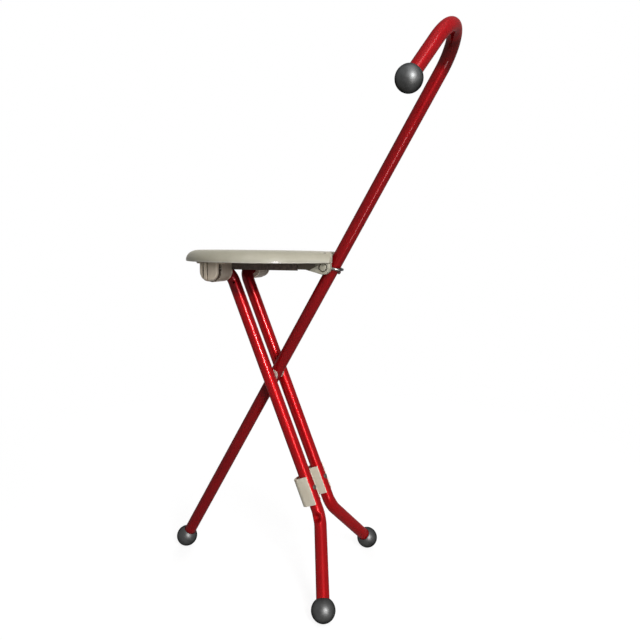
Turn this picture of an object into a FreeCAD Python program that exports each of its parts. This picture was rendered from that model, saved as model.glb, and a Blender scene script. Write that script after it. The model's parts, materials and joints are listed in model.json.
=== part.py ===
import FreeCAD, Part
import math
import os

# Folding stick seat, opened for sitting. Millimetres and degrees, +Z up, floor at z = 0.
# The fold happens in the XZ plane. The stick leans towards +X and the legs' feet stand at +X.
# "left" is the -Y side and "right" the +Y side. Lengths along X are counted from the leg pivot.

Vector = FreeCAD.Vector

# Tubes and balls
tube_diameter = 18.0
tube_wall = 1.5
ball_diameter = 32.6
ball_flat_depth = 0.4
ball_socket_floor = 3.0
socket_clearance = 0.1

# Stick
pivot_height = 302.4
stick_lean = 29.1
crook_start = 471.6
crook_radius = 42.4
crook_turn = 160.0
crook_limb = 56.0

# Legs
leg_lean = 22.35
leg_offset = 22.6
hinge_above_pivot = 166.0
elbow_radius = 18.0
knee_below_pivot = 217.0
knee_radius = 34.0
foot_reach = 118.8
foot_spread = 210.0
vent_radius = 1.7
vent_above_pivot = 146.0

# Pivot between stick and legs
pin_radius = 4.0
pin_head_radius = 5.0
pin_head_length = 2.5
pin_head_gap = 0.4
spacer_radius = 8.0
spacer_gap = 0.3
running_clearance = 0.05
seated_gap = 0.02

# Clips on the legs
clip_below_pivot = 174.0
clip_length = 42.0
clip_wall = 1.7
clip_web = 2.5
clip_back_gap = 6.0
clip_front_reach = 6.2
clip_corner_radius = 9.0
clip_side_gap = 0.1
clip_rivet_radius = 1.8
clip_rivet_head_radius = 4.0
clip_rivet_head_height = 1.0
clip_rivet_head_edge = 0.7
clip_rivet_above_centre = 1.5

# Seat shell
seat_above_hinge = 29.07
seat_centre = -24.3
seat_radius = 107.7
seat_edge_height = 15.8
seat_edge_run = 18.0
seat_edge_drop = 14.0
seat_plate = 6.0
seat_wall = 4.0
seat_inner_radius = 9.0
seat_rear = 92.3
rear_block_front = 44.0
rear_block_half_width = 25.0
rear_block_corner = 6.0
notch_radius = 14.0

# Bearing hubs
hub_radius = 15.0
hub_length = 42.0
hub_from_rim = 23.7
hub_end_wall = 4.0
axle_end_gap = 0.3
hub_end_radius = 13.6
hub_edge_chamfer = 1.5
hub_groove_width = 4.5
hub_groove_depth = 2.5
hub_groove_from_end = 6.0
hub_rib_width = 4.5
hub_rib_height = 1.6
hub_rib_offset = -3.5
hub_flange_half_length = 26.0
hub_flange_inset = 4.0
hub_flange_width = 16.0
hub_screw_offset = 21.0

# Rails between hub and lug
rail_height = 21.0
rail_web = 3.0
rail_flange = 14.0
rail_end_gap = 0.05
rail_screw_distances = (24.0, 78.0)
rail_screw_offset = 9.0

# Rear lugs
lug_pin_reach = 82.0
lug_pin_below_lip = 6.0
lug_round = 9.8
lug_tail_height = 9.6
lug_tail_reach = 56.0
lug_screw_reach = 51.0
lug_recess_radius = 6.0
lug_recess_depth = 2.6

# Wire bail and its stop
wire_radius = 1.9
bail_half_width = 11.5
bail_bend_radius = 11.4
bail_pin_bend = 2.4
bail_rise = 6.8
bail_depth = 19.0
bail_cap_radius = 5.4
bail_cap_gap = 0.3
bail_cap_proud = 0.6
bail_stop_radius = 3.0
bail_stop_height = 4.4
bail_stop_edge = 1.2
bail_stop_gap = 0.3
bail_stop_shank = 1.8

# Screws
screw_radius = 2.0
screw_shank = 8.5
screw_head_radius = 3.5
screw_head_height = 2.0
screw_grip = 4.0
screw_clearance = 0.05

# Values that follow from the sizes above
tube_radius = tube_diameter / 2
bore_radius = tube_radius - tube_wall
ball_radius = ball_diameter / 2
ball_centre_height = ball_radius - ball_flat_depth
lean = math.radians(stick_lean)
tilt = math.radians(leg_lean)
stick_up = Vector(math.sin(lean), 0, math.cos(lean))
stick_back = Vector(math.cos(lean), 0, -math.sin(lean))
leg_up = Vector(-math.sin(tilt), 0, math.cos(tilt))
leg_back = Vector(math.cos(tilt), 0, math.sin(tilt))
pivot = Vector(0, 0, pivot_height)
hinge = pivot + leg_up * hinge_above_pivot
seat_height = hinge.z + seat_above_hinge
lip_bottom = seat_height - seat_edge_height
plate_bottom = seat_height - seat_plate
lug_pin = Vector(lug_pin_reach, 0, lip_bottom - lug_pin_below_lip)
hub_outer_face = seat_radius - hub_from_rim
hub_inner_face = hub_outer_face - hub_length
hub_flange_start = hub_inner_face + hub_flange_inset
hub_flange_end = hub_flange_start + hub_flange_width
hub_screw_side = (hub_flange_start + hub_flange_end) / 2
stick_foot_centre = pivot - stick_up * ((pivot_height - ball_centre_height) / math.cos(lean))
leg_inner_side = leg_offset - tube_radius
box_left = stick_foot_centre.x - ball_radius
box_right = (crook_start + crook_radius) * math.sin(lean) + tube_radius
frame_shift = Vector(-(box_left + box_right) / 2, 0, 0)

Y_AXIS = Vector(0, 1, 0)
Z_AXIS = Vector(0, 0, 1)


def cylinder(start, end, radius):
    """Return a round bar between two points."""
    run = end - start
    return Part.makeCylinder(radius, run.Length, start, run)


def side_bar(point, y_start, y_end, radius):
    """Return a round bar along Y through a point of the fold plane."""
    start = Vector(point.x, y_start, point.z)
    end = Vector(point.x, y_end, point.z)
    return cylinder(start, end, radius)


def block(x_low, x_high, y_low, y_high, z_low, z_high):
    """Return a box between two corners."""
    corner = Vector(x_low, y_low, z_low)
    return Part.makeBox(x_high - x_low, y_high - y_low, z_high - z_low, corner)


def rounded_path(points, radii):
    """Return a wire through the points, with each inner corner bent to its radius."""
    edges = []
    here = points[0]
    for corner, after, radius in zip(points[1:-1], points[2:], radii):
        arriving = (corner - here).normalize()
        leaving = (after - corner).normalize()
        turn = arriving.getAngle(leaving)
        tangent = radius * math.tan(turn / 2)
        bend_start = corner - arriving * tangent
        bend_end = corner + leaving * tangent
        inward = (leaving - arriving).normalize()
        bend_middle = corner + inward * (radius / math.cos(turn / 2) - radius)
        if (bend_start - here).Length > 0.001:
            edges.append(Part.makeLine(here, bend_start))
            here = bend_start
        edges.append(Part.Arc(here, bend_middle, bend_end).toShape())
        here = bend_end
    edges.append(Part.makeLine(here, points[-1]))
    return Part.Wire(edges)


def bar_along(points, radii, radius):
    """Return a solid round bar that follows a bent path."""
    path = rounded_path(points, radii)
    ring = Part.makeCircle(radius, points[0], points[1] - points[0])
    return path.makePipeShell([Part.Wire([ring])], True, False)


def tube_along(points, radii):
    """Return a hollow tube that follows a bent path."""
    outside = bar_along(points, radii, tube_radius)
    inside = bar_along(points, radii, bore_radius)
    return outside.cut(inside)


def crook_points():
    """Return the corner points of the stick from its foot to the ball on the crook."""
    half = math.radians(crook_turn / 2)
    tangent = crook_radius * math.tan(half / 2)
    across = Vector(0, -1, 0)
    first_way = stick_up * math.cos(half) + across * math.sin(half)
    last_way = stick_up * math.cos(2 * half) + across * math.sin(2 * half)
    first = pivot + stick_up * (crook_start + tangent)
    second = first + first_way * (2 * tangent)
    ball_centre = second + last_way * (tangent + crook_limb)
    return stick_foot_centre, first, second, ball_centre


def stick_ends():
    """Return the tube's path, shortened to the floors of the two ball sockets."""
    foot, first, second, ball_centre = crook_points()
    low = foot + stick_up * ball_socket_floor
    high = ball_centre - (ball_centre - second).normalize() * ball_socket_floor
    return [low, first, second, high]


def stick_tube():
    """Return the stick with its crook, its pivot holes and the hole of the bail stop."""
    tube = tube_along(stick_ends(), [crook_radius, crook_radius])
    pivot_hole = side_bar(pivot, -tube_diameter, tube_diameter, pin_radius + seated_gap)
    stop_start = stop_seat() - stick_back * tube_radius
    stop_end = stop_seat() + stick_back
    stop_hole = cylinder(stop_start, stop_end, bail_stop_shank + seated_gap)
    return tube.cut(pivot_hole).cut(stop_hole)


def ball(centre, tube_way, flat):
    """Return a ball with a blind socket for a tube that arrives from tube_way."""
    way = Vector(tube_way).normalize()
    body = Part.makeSphere(ball_radius, centre, way)
    floor = centre + way * (ball_socket_floor - socket_clearance)
    socket = cylinder(floor, centre + way * ball_diameter, tube_radius + socket_clearance)
    body = body.cut(socket)
    if flat:
        below = block(centre.x - ball_diameter, centre.x + ball_diameter, centre.y - ball_diameter,
                      centre.y + ball_diameter, centre.z - ball_diameter, 0)
        body = body.cut(below)
    return body


def handle_ball():
    """Return the ball on the free end of the crook."""
    points = crook_points()
    return ball(points[3], points[2] - points[3], False)


def stick_foot():
    """Return the ball under the stick."""
    return ball(stick_foot_centre, stick_up, True)


def knee(side):
    """Return the corner point of a leg's lower bend."""
    return pivot - leg_up * knee_below_pivot + Y_AXIS * (side * leg_offset)


def foot_centre(side):
    """Return the centre of the ball under a leg."""
    return Vector(foot_reach, side * foot_spread / 2, ball_centre_height)


def leg_tube(side):
    """Return a leg from the end of its stub axle to the socket of its foot."""
    axle_end = hinge + Y_AXIS * (side * (hub_outer_face - hub_end_wall - axle_end_gap))
    elbow = hinge + Y_AXIS * (side * leg_offset)
    low_way = (knee(side) - foot_centre(side)).normalize()
    low_end = foot_centre(side) + low_way * ball_socket_floor
    tube = tube_along([axle_end, elbow, knee(side), low_end], [elbow_radius, knee_radius])
    pin_hole = side_bar(pivot, side * leg_inner_side / 2, side * leg_offset, pin_radius + running_clearance)
    vent_spot = pivot + leg_up * vent_above_pivot + leg_back * vent_radius
    vent = side_bar(vent_spot, side * leg_offset, side * (leg_offset + tube_diameter), vent_radius)
    rivet_hole = clip_rivet_bar(side, clip_rivet_radius + seated_gap)
    return tube.cut(pin_hole).cut(vent).cut(rivet_hole)


def leg_foot(side):
    """Return the ball under a leg."""
    return ball(foot_centre(side), knee(side) - foot_centre(side), True)


def spacer(side):
    """Return the spacer between the stick and a leg."""
    near = side * (tube_radius + seated_gap)
    far = side * (leg_inner_side - spacer_gap)
    ring = side_bar(pivot, near, far, spacer_radius)
    return ring.cut(side_bar(pivot, -leg_offset, leg_offset, pin_radius + seated_gap))


def pivot_pin():
    """Return the pin that both legs turn on, with its heads inside the leg tubes."""
    head_dip = math.sqrt(bore_radius ** 2 - pin_head_radius ** 2)
    head_start = leg_offset - head_dip + pin_head_gap
    head_end = head_start + pin_head_length
    pin = side_bar(pivot, -head_end, head_end, pin_radius)
    for side in (-1, 1):
        pin = pin.fuse(side_bar(pivot, side * head_start, side * head_end, pin_head_radius))
    return pin.removeSplitter()


def clip_centre(side):
    """Return the point on a leg's axis at the middle of its clip."""
    return pivot - leg_up * clip_below_pivot + Y_AXIS * (side * leg_offset)


def on_leg(shape, side):
    """Place a shape drawn about the clip's centre, with Z along the leg, on its leg."""
    shape.rotate(Vector(0, 0, 0), Y_AXIS, -leg_lean)
    shape.translate(clip_centre(side))
    return shape


def clip_rivet_bar(side, radius):
    """Return the clip rivet's shank, from the back of the clip to the rivet's head."""
    back = -(tube_radius + clip_back_gap + clip_web)
    start = Vector(back, 0, clip_rivet_above_centre)
    end = Vector(tube_radius + clip_rivet_head_height / 2, 0, clip_rivet_above_centre)
    return on_leg(cylinder(start, end, radius), side)


def clip(side):
    """Return the channel-shaped clip that wraps the stick's side of a leg."""
    back = -(tube_radius + clip_back_gap + clip_web)
    half_gap = tube_radius + clip_side_gap
    half_width = half_gap + clip_wall
    half_length = clip_length / 2
    body = block(back, clip_front_reach, -half_width, half_width, -half_length, half_length)
    corners = [edge for edge in body.Edges if is_upright(edge) and edge.CenterOfMass.x < back / 2]
    body = body.makeFillet(clip_corner_radius, corners)
    channel_back = back + clip_web
    channel = block(channel_back, tube_diameter, -half_gap, half_gap, -clip_length, clip_length)
    inner = [edge for edge in channel.Edges if is_upright(edge) and edge.CenterOfMass.x < 0]
    channel = channel.makeFillet(clip_corner_radius - clip_wall, inner)
    return on_leg(body.cut(channel), side).cut(clip_rivet_bar(side, clip_rivet_radius + seated_gap))


def is_upright(edge):
    """Tell whether an edge is a straight line along Z."""
    run = edge.Vertexes[-1].Point - edge.Vertexes[0].Point
    return abs(run.z) > 0.5 and abs(run.x) + abs(run.y) < 0.001


def clip_rivet(side):
    """Return the rivet that holds a clip, with a domed head on the far side of the tube."""
    centre = Vector(tube_radius + clip_rivet_head_height, 0, clip_rivet_above_centre)
    inside = Vector(tube_radius - clip_rivet_head_height / 2, 0, clip_rivet_above_centre)
    head = cylinder(inside, centre, clip_rivet_head_radius)
    rim = [edge for edge in head.Edges if edge.CenterOfMass.x > tube_radius + clip_rivet_head_height / 2]
    head = head.makeFillet(clip_rivet_head_edge, rim[:1])
    low = Vector(0, 0, -clip_length / 2)
    tube_gap = Part.makeCylinder(tube_radius + seated_gap, clip_length, low, Z_AXIS)
    head = on_leg(head.cut(tube_gap), side)
    return head.fuse(clip_rivet_bar(side, clip_rivet_radius)).removeSplitter()


def seat_profile():
    """Return the half section of the round seat, drawn at the seat's centre."""
    edge_centre = Vector(seat_radius - seat_edge_run, 0, seat_height - seat_edge_drop)
    inner_wall = seat_radius - seat_wall
    inner_centre = inner_wall - seat_inner_radius
    slope = math.sqrt(0.5)
    top_in = edge_centre + Vector(0, 0, seat_edge_drop)
    top_out = edge_centre + Vector(seat_edge_run, 0, 0)
    rounding = Part.ArcOfEllipse(Part.Ellipse(top_out, top_in, edge_centre), 0, math.pi / 2)
    lip_out = Vector(seat_radius, 0, lip_bottom)
    lip_in = Vector(inner_wall, 0, lip_bottom)
    inner_low = plate_bottom - seat_inner_radius
    wall_top = Vector(inner_wall, 0, inner_low)
    arch_mid = Vector(inner_centre + seat_inner_radius * slope, 0, inner_low + seat_inner_radius * slope)
    arch_in = Vector(inner_centre, 0, plate_bottom)
    edges = [
        Part.makeLine(Vector(0, 0, seat_height), top_in),
        rounding.toShape(),
        Part.makeLine(top_out, lip_out),
        Part.makeLine(lip_out, lip_in),
        Part.makeLine(lip_in, wall_top),
        Part.Arc(wall_top, arch_mid, arch_in).toShape(),
        Part.makeLine(arch_in, Vector(0, 0, plate_bottom)),
        Part.makeLine(Vector(0, 0, plate_bottom), Vector(0, 0, seat_height)),
    ]
    return Part.Face(Part.Wire(edges))


def rear_block():
    """Return the solid rear end of the seat, with rounded upper and rear edges."""
    half = rear_block_half_width
    body = block(rear_block_front, seat_rear, -half, half, lip_bottom, seat_height)
    rounded = []
    for edge in body.Edges:
        middle = edge.CenterOfMass
        rear_upright = is_upright(edge) and middle.x > seat_rear - 1
        rear_top = middle.z > seat_height - 1 and middle.x > seat_rear - 1
        side_top = middle.z > seat_height - 1 and abs(middle.y) > half - 1
        if rear_upright or rear_top or side_top:
            rounded.append(edge)
    return body.makeFillet(rear_block_corner, rounded)


def seat_body():
    """Return the seat before its screw holes: the round shell, the rear block and the notch."""
    shell = seat_profile().revolve(Vector(0, 0, 0), Z_AXIS, 360)
    shell = Part.Solid(shell.Shells[0])
    shell.translate(Vector(seat_centre, 0, 0))
    body = shell.fuse(rear_block())
    notch_low = Vector(seat_rear, 0, lip_bottom - seat_edge_height)
    notch = Part.makeCylinder(notch_radius, 4 * seat_edge_height, notch_low)
    return body.cut(notch).removeSplitter()


def seat_shell():
    """Return the seat with the pilot holes of its screws."""
    return seat_body().cut(screw_bars(screw_radius + seated_gap))


def screw_spots():
    """Return the place of each screw: the point where its head bears, seen from below."""
    spots = []
    for side in (-1, 1):
        for offset in (-hub_screw_offset, hub_screw_offset):
            spots.append(Vector(hinge.x + offset, side * hub_screw_side, plate_bottom - screw_grip))
        for distance in rail_screw_distances:
            spots.append(on_rail(Vector(distance, rail_screw_offset, plate_bottom - screw_grip), side))
        lug_middle = (notch_radius + rear_block_half_width) / 2
        spots.append(Vector(lug_screw_reach, side * lug_middle, lip_bottom - screw_grip))
    return spots


def screw_bars(radius):
    """Return the shanks of all screws at a given radius."""
    bars = []
    for spot in screw_spots():
        bars.append(Part.makeCylinder(radius, screw_shank, spot))
    return Part.makeCompound(bars)


def seat_screws():
    """Return all the screws that hold the hubs, rails and lugs."""
    screws = []
    for spot in screw_spots():
        head_low = spot - Z_AXIS * screw_head_height
        head = Part.makeCylinder(screw_head_radius, screw_head_height, head_low)
        shank = Part.makeCylinder(screw_radius, screw_shank, spot)
        screws.append(head.fuse(shank).removeSplitter())
    return Part.makeCompound(screws)


def hub_outline(radius, y_start, y_end):
    """Return the half-round housing between two distances from the fold plane, up to the seat."""
    low = min(y_start, y_end)
    high = max(y_start, y_end)
    barrel = side_bar(hinge, low, high, radius)
    upper = block(hinge.x - radius, hinge.x + radius, low, high, hinge.z, plate_bottom)
    return barrel.fuse(upper).removeSplitter()


def hub(side):
    """Return a bearing hub with its blind bore, groove, end rib and screw flange."""
    chamfer = hub_edge_chamfer
    groove_end = hub_outer_face - hub_groove_from_end
    groove_start = groove_end - hub_groove_width
    body = hub_outline(hub_radius, side * hub_inner_face, side * groove_start)
    body = body.fuse(hub_outline(hub_end_radius - hub_groove_depth, side * groove_start, side * groove_end))
    body = body.fuse(hub_outline(hub_end_radius, side * groove_end, side * (hub_outer_face - chamfer)))
    body = body.fuse(hub_outline(hub_end_radius - chamfer, side * groove_end, side * hub_outer_face))
    rib_low = hinge.x + hub_rib_offset - hub_rib_width / 2
    rib_face = hub_outer_face + hub_rib_height
    rib_ends = sorted((side * (hub_outer_face - hub_end_wall), side * rib_face))
    rib = block(rib_low, rib_low + hub_rib_width, rib_ends[0], rib_ends[1],
                hinge.z - hub_radius, plate_bottom)
    rib_limit = hub_outline(hub_end_radius - chamfer, side * hub_inner_face, side * rib_face)
    body = body.fuse(rib.common(rib_limit))
    flange_ends = sorted((side * hub_flange_start, side * hub_flange_end))
    flange = block(hinge.x - hub_flange_half_length, hinge.x + hub_flange_half_length,
                   flange_ends[0], flange_ends[1], plate_bottom - screw_grip, plate_bottom)
    body = body.fuse(flange)
    bore = side_bar(hinge, side * (hub_inner_face - 1), side * (hub_outer_face - hub_end_wall),
                    tube_radius + running_clearance)
    body = body.cut(bore).cut(screw_bars(screw_radius + screw_clearance))
    return body.cut(seat_body()).removeSplitter()


def rail_line():
    """Return the front end of a right-hand rail's inner face and the rail's direction."""
    front = Vector(hinge.x + hub_radius, hub_inner_face, 0)
    rear = Vector(rear_block_front, rear_block_half_width - rail_web, 0)
    return front, (rear - front).normalize()


def on_rail(spot, side):
    """Return a place given as distance along a rail, distance out from its inner face and height."""
    front, way = rail_line()
    outward = Vector(-way.y, way.x, 0)
    place = front + way * spot.x + outward * spot.y
    return Vector(place.x, side * place.y, spot.z)


def rail_strip(width, z_low, z_high, side):
    """Return a straight strip along a rail, cut square at the hub and at the rear block."""
    front, way = rail_line()
    beyond = rear_block_front - front.x
    corners = []
    for distance, offset in ((-beyond, 0), (2 * beyond, 0), (2 * beyond, width), (-beyond, width)):
        corners.append(on_rail(Vector(distance, offset, z_low), side))
    face = Part.Face(Part.makePolygon(corners + corners[:1]))
    strip = face.extrude(Z_AXIS * (z_high - z_low))
    span = block(front.x + rail_end_gap, rear_block_front - rail_end_gap,
                 -seat_radius, seat_radius, z_low, z_high)
    return strip.common(span)


def rail(side):
    """Return the angle bar that runs under the seat from a hub to its lug."""
    web = rail_strip(rail_web, plate_bottom - rail_height, plate_bottom, side)
    flange = rail_strip(rail_flange, plate_bottom - screw_grip, plate_bottom, side)
    past_hub = block(hinge.x + hub_flange_half_length + rail_end_gap, rear_block_front,
                     -seat_radius, seat_radius, plate_bottom - screw_grip, plate_bottom)
    bar = web.fuse(flange.common(past_hub))
    return bar.cut(screw_bars(screw_radius + screw_clearance)).removeSplitter()


def lug_outline():
    """Return the teardrop face of a lug in the fold plane."""
    tail_low = lip_bottom - lug_tail_height
    tail_end = Vector(lug_tail_reach, 0, tail_low)
    to_tail = tail_end - lug_pin
    touch_angle = math.atan2(to_tail.z, to_tail.x) + math.acos(lug_round / to_tail.Length)
    middle_angle = touch_angle / 2
    touch = lug_pin + Vector(math.cos(touch_angle), 0, math.sin(touch_angle)) * lug_round
    middle = lug_pin + Vector(math.cos(middle_angle), 0, math.sin(middle_angle)) * lug_round
    rear = lug_pin + Vector(lug_round, 0, 0)
    front_top = Vector(rear_block_front, 0, lip_bottom)
    front_low = Vector(rear_block_front, 0, tail_low)
    rear_top = Vector(rear.x, 0, lip_bottom)
    edges = [
        Part.makeLine(front_top, front_low),
        Part.makeLine(front_low, tail_end),
        Part.makeLine(tail_end, touch),
        Part.Arc(touch, middle, rear).toShape(),
        Part.makeLine(rear, rear_top),
        Part.makeLine(rear_top, front_top),
    ]
    return Part.Face(Part.Wire(edges))


def lug(side):
    """Return a rear lug with the bore of the wire, the recess of its cap and the screw hole."""
    face = lug_outline()
    face.translate(Y_AXIS * (side * notch_radius))
    plate = face.extrude(Y_AXIS * (side * (rear_block_half_width - notch_radius)))
    bore = side_bar(lug_pin, side * (notch_radius - 1), side * (rear_block_half_width + 1),
                    wire_radius + running_clearance)
    recess = side_bar(lug_pin, side * (rear_block_half_width - lug_recess_depth),
                      side * (rear_block_half_width + 1), lug_recess_radius)
    plate = plate.cut(bore).cut(recess)
    lug_middle = side * (notch_radius + rear_block_half_width) / 2
    head_seat = Vector(lug_screw_reach, lug_middle, lip_bottom - screw_grip)
    head_room = Part.makeCylinder(screw_head_radius + screw_clearance, 2 * lug_round, head_seat, -Z_AXIS)
    return plate.cut(head_room).cut(screw_bars(screw_radius + screw_clearance))


def bail_rear():
    """Return the middle of the bail's rear bend in the fold plane."""
    return lug_pin + stick_up * bail_rise + stick_back * bail_depth


def bail():
    """Return the wire loop from lug to lug around the stick."""
    pin_end = rear_block_half_width - bail_cap_gap
    rear = bail_rear()
    wide = Y_AXIS * bail_half_width
    points = [lug_pin - Y_AXIS * pin_end, lug_pin - wide, rear - wide, rear + wide, lug_pin + wide,
              lug_pin + Y_AXIS * pin_end]
    radii = [bail_pin_bend, bail_bend_radius, bail_bend_radius, bail_pin_bend]
    return bar_along(points, radii, wire_radius)


def bail_cap(side):
    """Return the round cap pressed on an end of the wire."""
    inner = rear_block_half_width - lug_recess_depth + bail_cap_gap
    outer = rear_block_half_width + bail_cap_proud
    disc = side_bar(lug_pin, side * inner, side * outer, bail_cap_radius)
    socket_end = rear_block_half_width - bail_cap_gap + seated_gap
    socket = side_bar(lug_pin, side * (inner - 1), side * socket_end, wire_radius + seated_gap)
    return disc.cut(socket)


def stop_seat():
    """Return the point on the stick's surface where the bail stop stands."""
    wire_height = (bail_rear() - pivot).dot(stick_up)
    height = wire_height - wire_radius - bail_stop_gap - bail_stop_radius
    return pivot + stick_up * height + stick_back * tube_radius


def bail_stop():
    """Return the rivet that the bail rests on when the stool is open."""
    seat = stop_seat()
    top = seat + stick_back * bail_stop_height
    head = cylinder(seat - stick_back * tube_wall, top, bail_stop_radius)
    rim = [edge for edge in head.Edges if (edge.CenterOfMass - top).Length < 0.01]
    head = head.makeFillet(bail_stop_edge, rim[:1])
    tube_gap = cylinder(stick_foot_centre, pivot + stick_up * crook_start, tube_radius + seated_gap)
    shank = cylinder(seat - stick_back * (tube_wall + 1.0), seat + stick_back, bail_stop_shank)
    return head.cut(tube_gap).fuse(shank).removeSplitter()


def save(name, shape):
    """Write one node, moved so that the frame's origin lies under the middle of the object."""
    moved = shape.copy()
    moved.translate(frame_shift)
    moved.exportStep(os.path.join("parts", name + ".step"))


def main():
    """Build every node and write it."""
    os.makedirs("parts", exist_ok=True)
    save("stick_tube", stick_tube())
    save("handle_ball", handle_ball())
    save("stick_foot", stick_foot())
    save("pivot_pin", pivot_pin())
    save("bail_stop", bail_stop())
    for word, side in (("left", -1), ("right", 1)):
        save(word + "_spacer", spacer(side))
        save(word + "_leg_tube", leg_tube(side))
        save(word + "_foot", leg_foot(side))
        save(word + "_clip", clip(side))
        save(word + "_clip_rivet", clip_rivet(side))
        save(word + "_hub", hub(side))
        save(word + "_rail", rail(side))
        save(word + "_lug", lug(side))
        save(word + "_bail_cap", bail_cap(side))
    save("seat_shell", seat_shell())
    save("seat_screws", seat_screws())
    save("bail", bail())


main()
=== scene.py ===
"""Looks of the folding stick seat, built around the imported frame. Pieces are drawn in millimetres."""
import json
import logging
import math
from collections.abc import Callable
from dataclasses import dataclass, replace
from enum import Enum

import bmesh
import bpy
from mathutils import Matrix, Vector


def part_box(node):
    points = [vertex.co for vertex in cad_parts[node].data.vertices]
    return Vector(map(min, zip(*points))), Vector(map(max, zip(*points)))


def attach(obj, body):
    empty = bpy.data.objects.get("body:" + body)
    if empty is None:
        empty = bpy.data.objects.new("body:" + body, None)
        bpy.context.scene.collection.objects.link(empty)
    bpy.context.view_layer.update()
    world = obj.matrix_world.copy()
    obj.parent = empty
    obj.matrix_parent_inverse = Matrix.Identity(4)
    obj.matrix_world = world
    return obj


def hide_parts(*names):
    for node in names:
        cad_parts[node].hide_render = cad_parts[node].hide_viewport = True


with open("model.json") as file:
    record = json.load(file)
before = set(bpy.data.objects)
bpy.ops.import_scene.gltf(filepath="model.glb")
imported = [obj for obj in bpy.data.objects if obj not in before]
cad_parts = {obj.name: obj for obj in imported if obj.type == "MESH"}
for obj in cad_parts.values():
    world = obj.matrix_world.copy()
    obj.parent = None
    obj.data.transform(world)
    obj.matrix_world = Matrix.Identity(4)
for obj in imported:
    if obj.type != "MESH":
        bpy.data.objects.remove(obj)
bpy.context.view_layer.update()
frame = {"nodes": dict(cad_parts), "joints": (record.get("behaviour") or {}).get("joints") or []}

log = logging.getLogger("stick_seat")

MM = 0.001
ALONG = Vector((1.0, 0.0, 0.0))
ACROSS = Vector((0.0, 1.0, 0.0))
UP = Vector((0.0, 0.0, 1.0))
ORIGIN = Vector((0.0, 0.0, 0.0))

# Distances in millimetres that are too small to tell two places apart.
MERGE = 0.0005
MERGE_AFTER_CUT = 0.001
ON_PLANE = 0.0001
SAME_PLACE = 0.01
SHORTEST_RUN = 0.001
# The least part of a unit normal along a direction that a face looks in.
FACES_STRAIGHT = 0.99
# Edges that bend by more, in degrees, are shaded as sharp.
SMOOTH_ANGLE = 32.0

WHITE = (1.0, 1.0, 1.0, 1.0)
# The middle of a pattern that runs from 0 to 1.
HALF = 0.5
# How much duller a scratch and a fleck are than the surface round them, and how deep a fleck is.
SCRATCH_DULLING = 0.15
FLECK_DULLING = 0.25
FLECK_DEPTH = 1.5

Triple = tuple[float, float, float]
Colour = Triple
Mesh = bmesh.types.BMesh
Vert = bmesh.types.BMVert
Edge = bmesh.types.BMEdge
Face = bmesh.types.BMFace
Socket = bpy.types.NodeSocket
Sockets = bpy.types.NodeOutputs
Tree = bpy.types.NodeTree


class Side(Enum):
    """The two mirrored sides of the fold plane."""

    LEFT = -1
    RIGHT = 1

    @property
    def word(self) -> str:
        """Return the side's word as the frame's node names use it."""
        return self.name.lower()

    def out(self, distance: float) -> Vector:
        """Return the step from the fold plane out to this side."""
        return ACROSS * (self.value * distance)


class Body(Enum):
    """The moving bodies of the frame."""

    STICK = "stick"
    LEGS = "legs"
    SEAT = "seat"
    BAIL = "bail"


class Join(Enum):
    """How one drawn solid acts on another."""

    UNITE = "UNION"
    CUT = "DIFFERENCE"


class Rounding(Enum):
    """What a rounding takes away."""

    EDGES = "EDGES"
    CORNERS = "VERTICES"


class LampUse(Enum):
    """What a lamp does to the object."""

    KEY = "lights it and shines in it"
    GLINT = "only shines in it"
    FILL = "only lights it"


def joint_point(name: str) -> Vector:
    """Return the place of one of the frame's joints in millimetres."""
    found = next(joint for joint in frame["joints"] if joint["name"] == name)
    return Vector(found["pos_m"]) / MM


def leaning(angle: float) -> tuple[Vector, Vector]:
    """Find the directions of a bar that leans in the fold plane.

    Args:
        angle: the lean from upright towards X, in degrees.

    Returns:
        The direction up along the bar and the one square to it, towards X.
    """
    lean = math.radians(angle)
    return flat(math.sin(lean), math.cos(lean)), flat(math.cos(lean), -math.sin(lean))


def flat(x: float, z: float) -> Vector:
    """Return a point or a direction in the fold plane."""
    return Vector((x, 0.0, z))


@dataclass(frozen=True)
class FoldPlane:
    """Points, directions and sizes that the sub-assemblies share, in millimetres and degrees."""

    stick_lean: float = 29.1
    leg_lean: float = 22.35
    tube_radius: float = 9.0
    ball_radius: float = 16.3
    ball_height: float = 15.9
    socket_floor: float = 3.0
    seat_top: float = 485.0
    plate_under: float = 479.0
    seat_lip: float = 469.2
    lug_front: float = 44.0
    wire_rise: float = 6.8
    wire_depth: float = 19.0

    @property
    def pivot(self) -> Vector:
        """Return the crossing of stick and legs."""
        return joint_point("leg_fold")

    @property
    def hinge(self) -> Vector:
        """Return the legs' hinge under the seat."""
        return joint_point("seat_fold")

    @property
    def lug_pin(self) -> Vector:
        """Return the pin line of the rear lugs."""
        return joint_point("bail_turn")

    @property
    def stick_up(self) -> Vector:
        """Return the direction up along the stick."""
        return leaning(self.stick_lean)[0]

    @property
    def stick_back(self) -> Vector:
        """Return the direction square to the stick, away from the seat."""
        return leaning(self.stick_lean)[1]

    @property
    def leg_up(self) -> Vector:
        """Return the direction up along the legs."""
        return leaning(-self.leg_lean)[0]

    @property
    def leg_back(self) -> Vector:
        """Return the direction square to the legs, away from the stick's foot."""
        return leaning(-self.leg_lean)[1]

    @property
    def wire_rear(self) -> Vector:
        """Return the middle of the wire behind the stick."""
        return self.lug_pin + self.stick_up * self.wire_rise + self.stick_back * self.wire_depth


PLANE = FoldPlane()


def look_along(way: Vector, spot: Vector) -> Matrix:
    """Return the placement that turns Z to a direction and takes the origin to a spot."""
    return Matrix.Translation(spot) @ way.to_track_quat("Z", "Y").to_matrix().to_4x4()


def of_kind(items: list, kind: type) -> list:
    """Return the items of one kind out of what an operator hands back."""
    return [item for item in items if isinstance(item, kind)]


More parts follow.
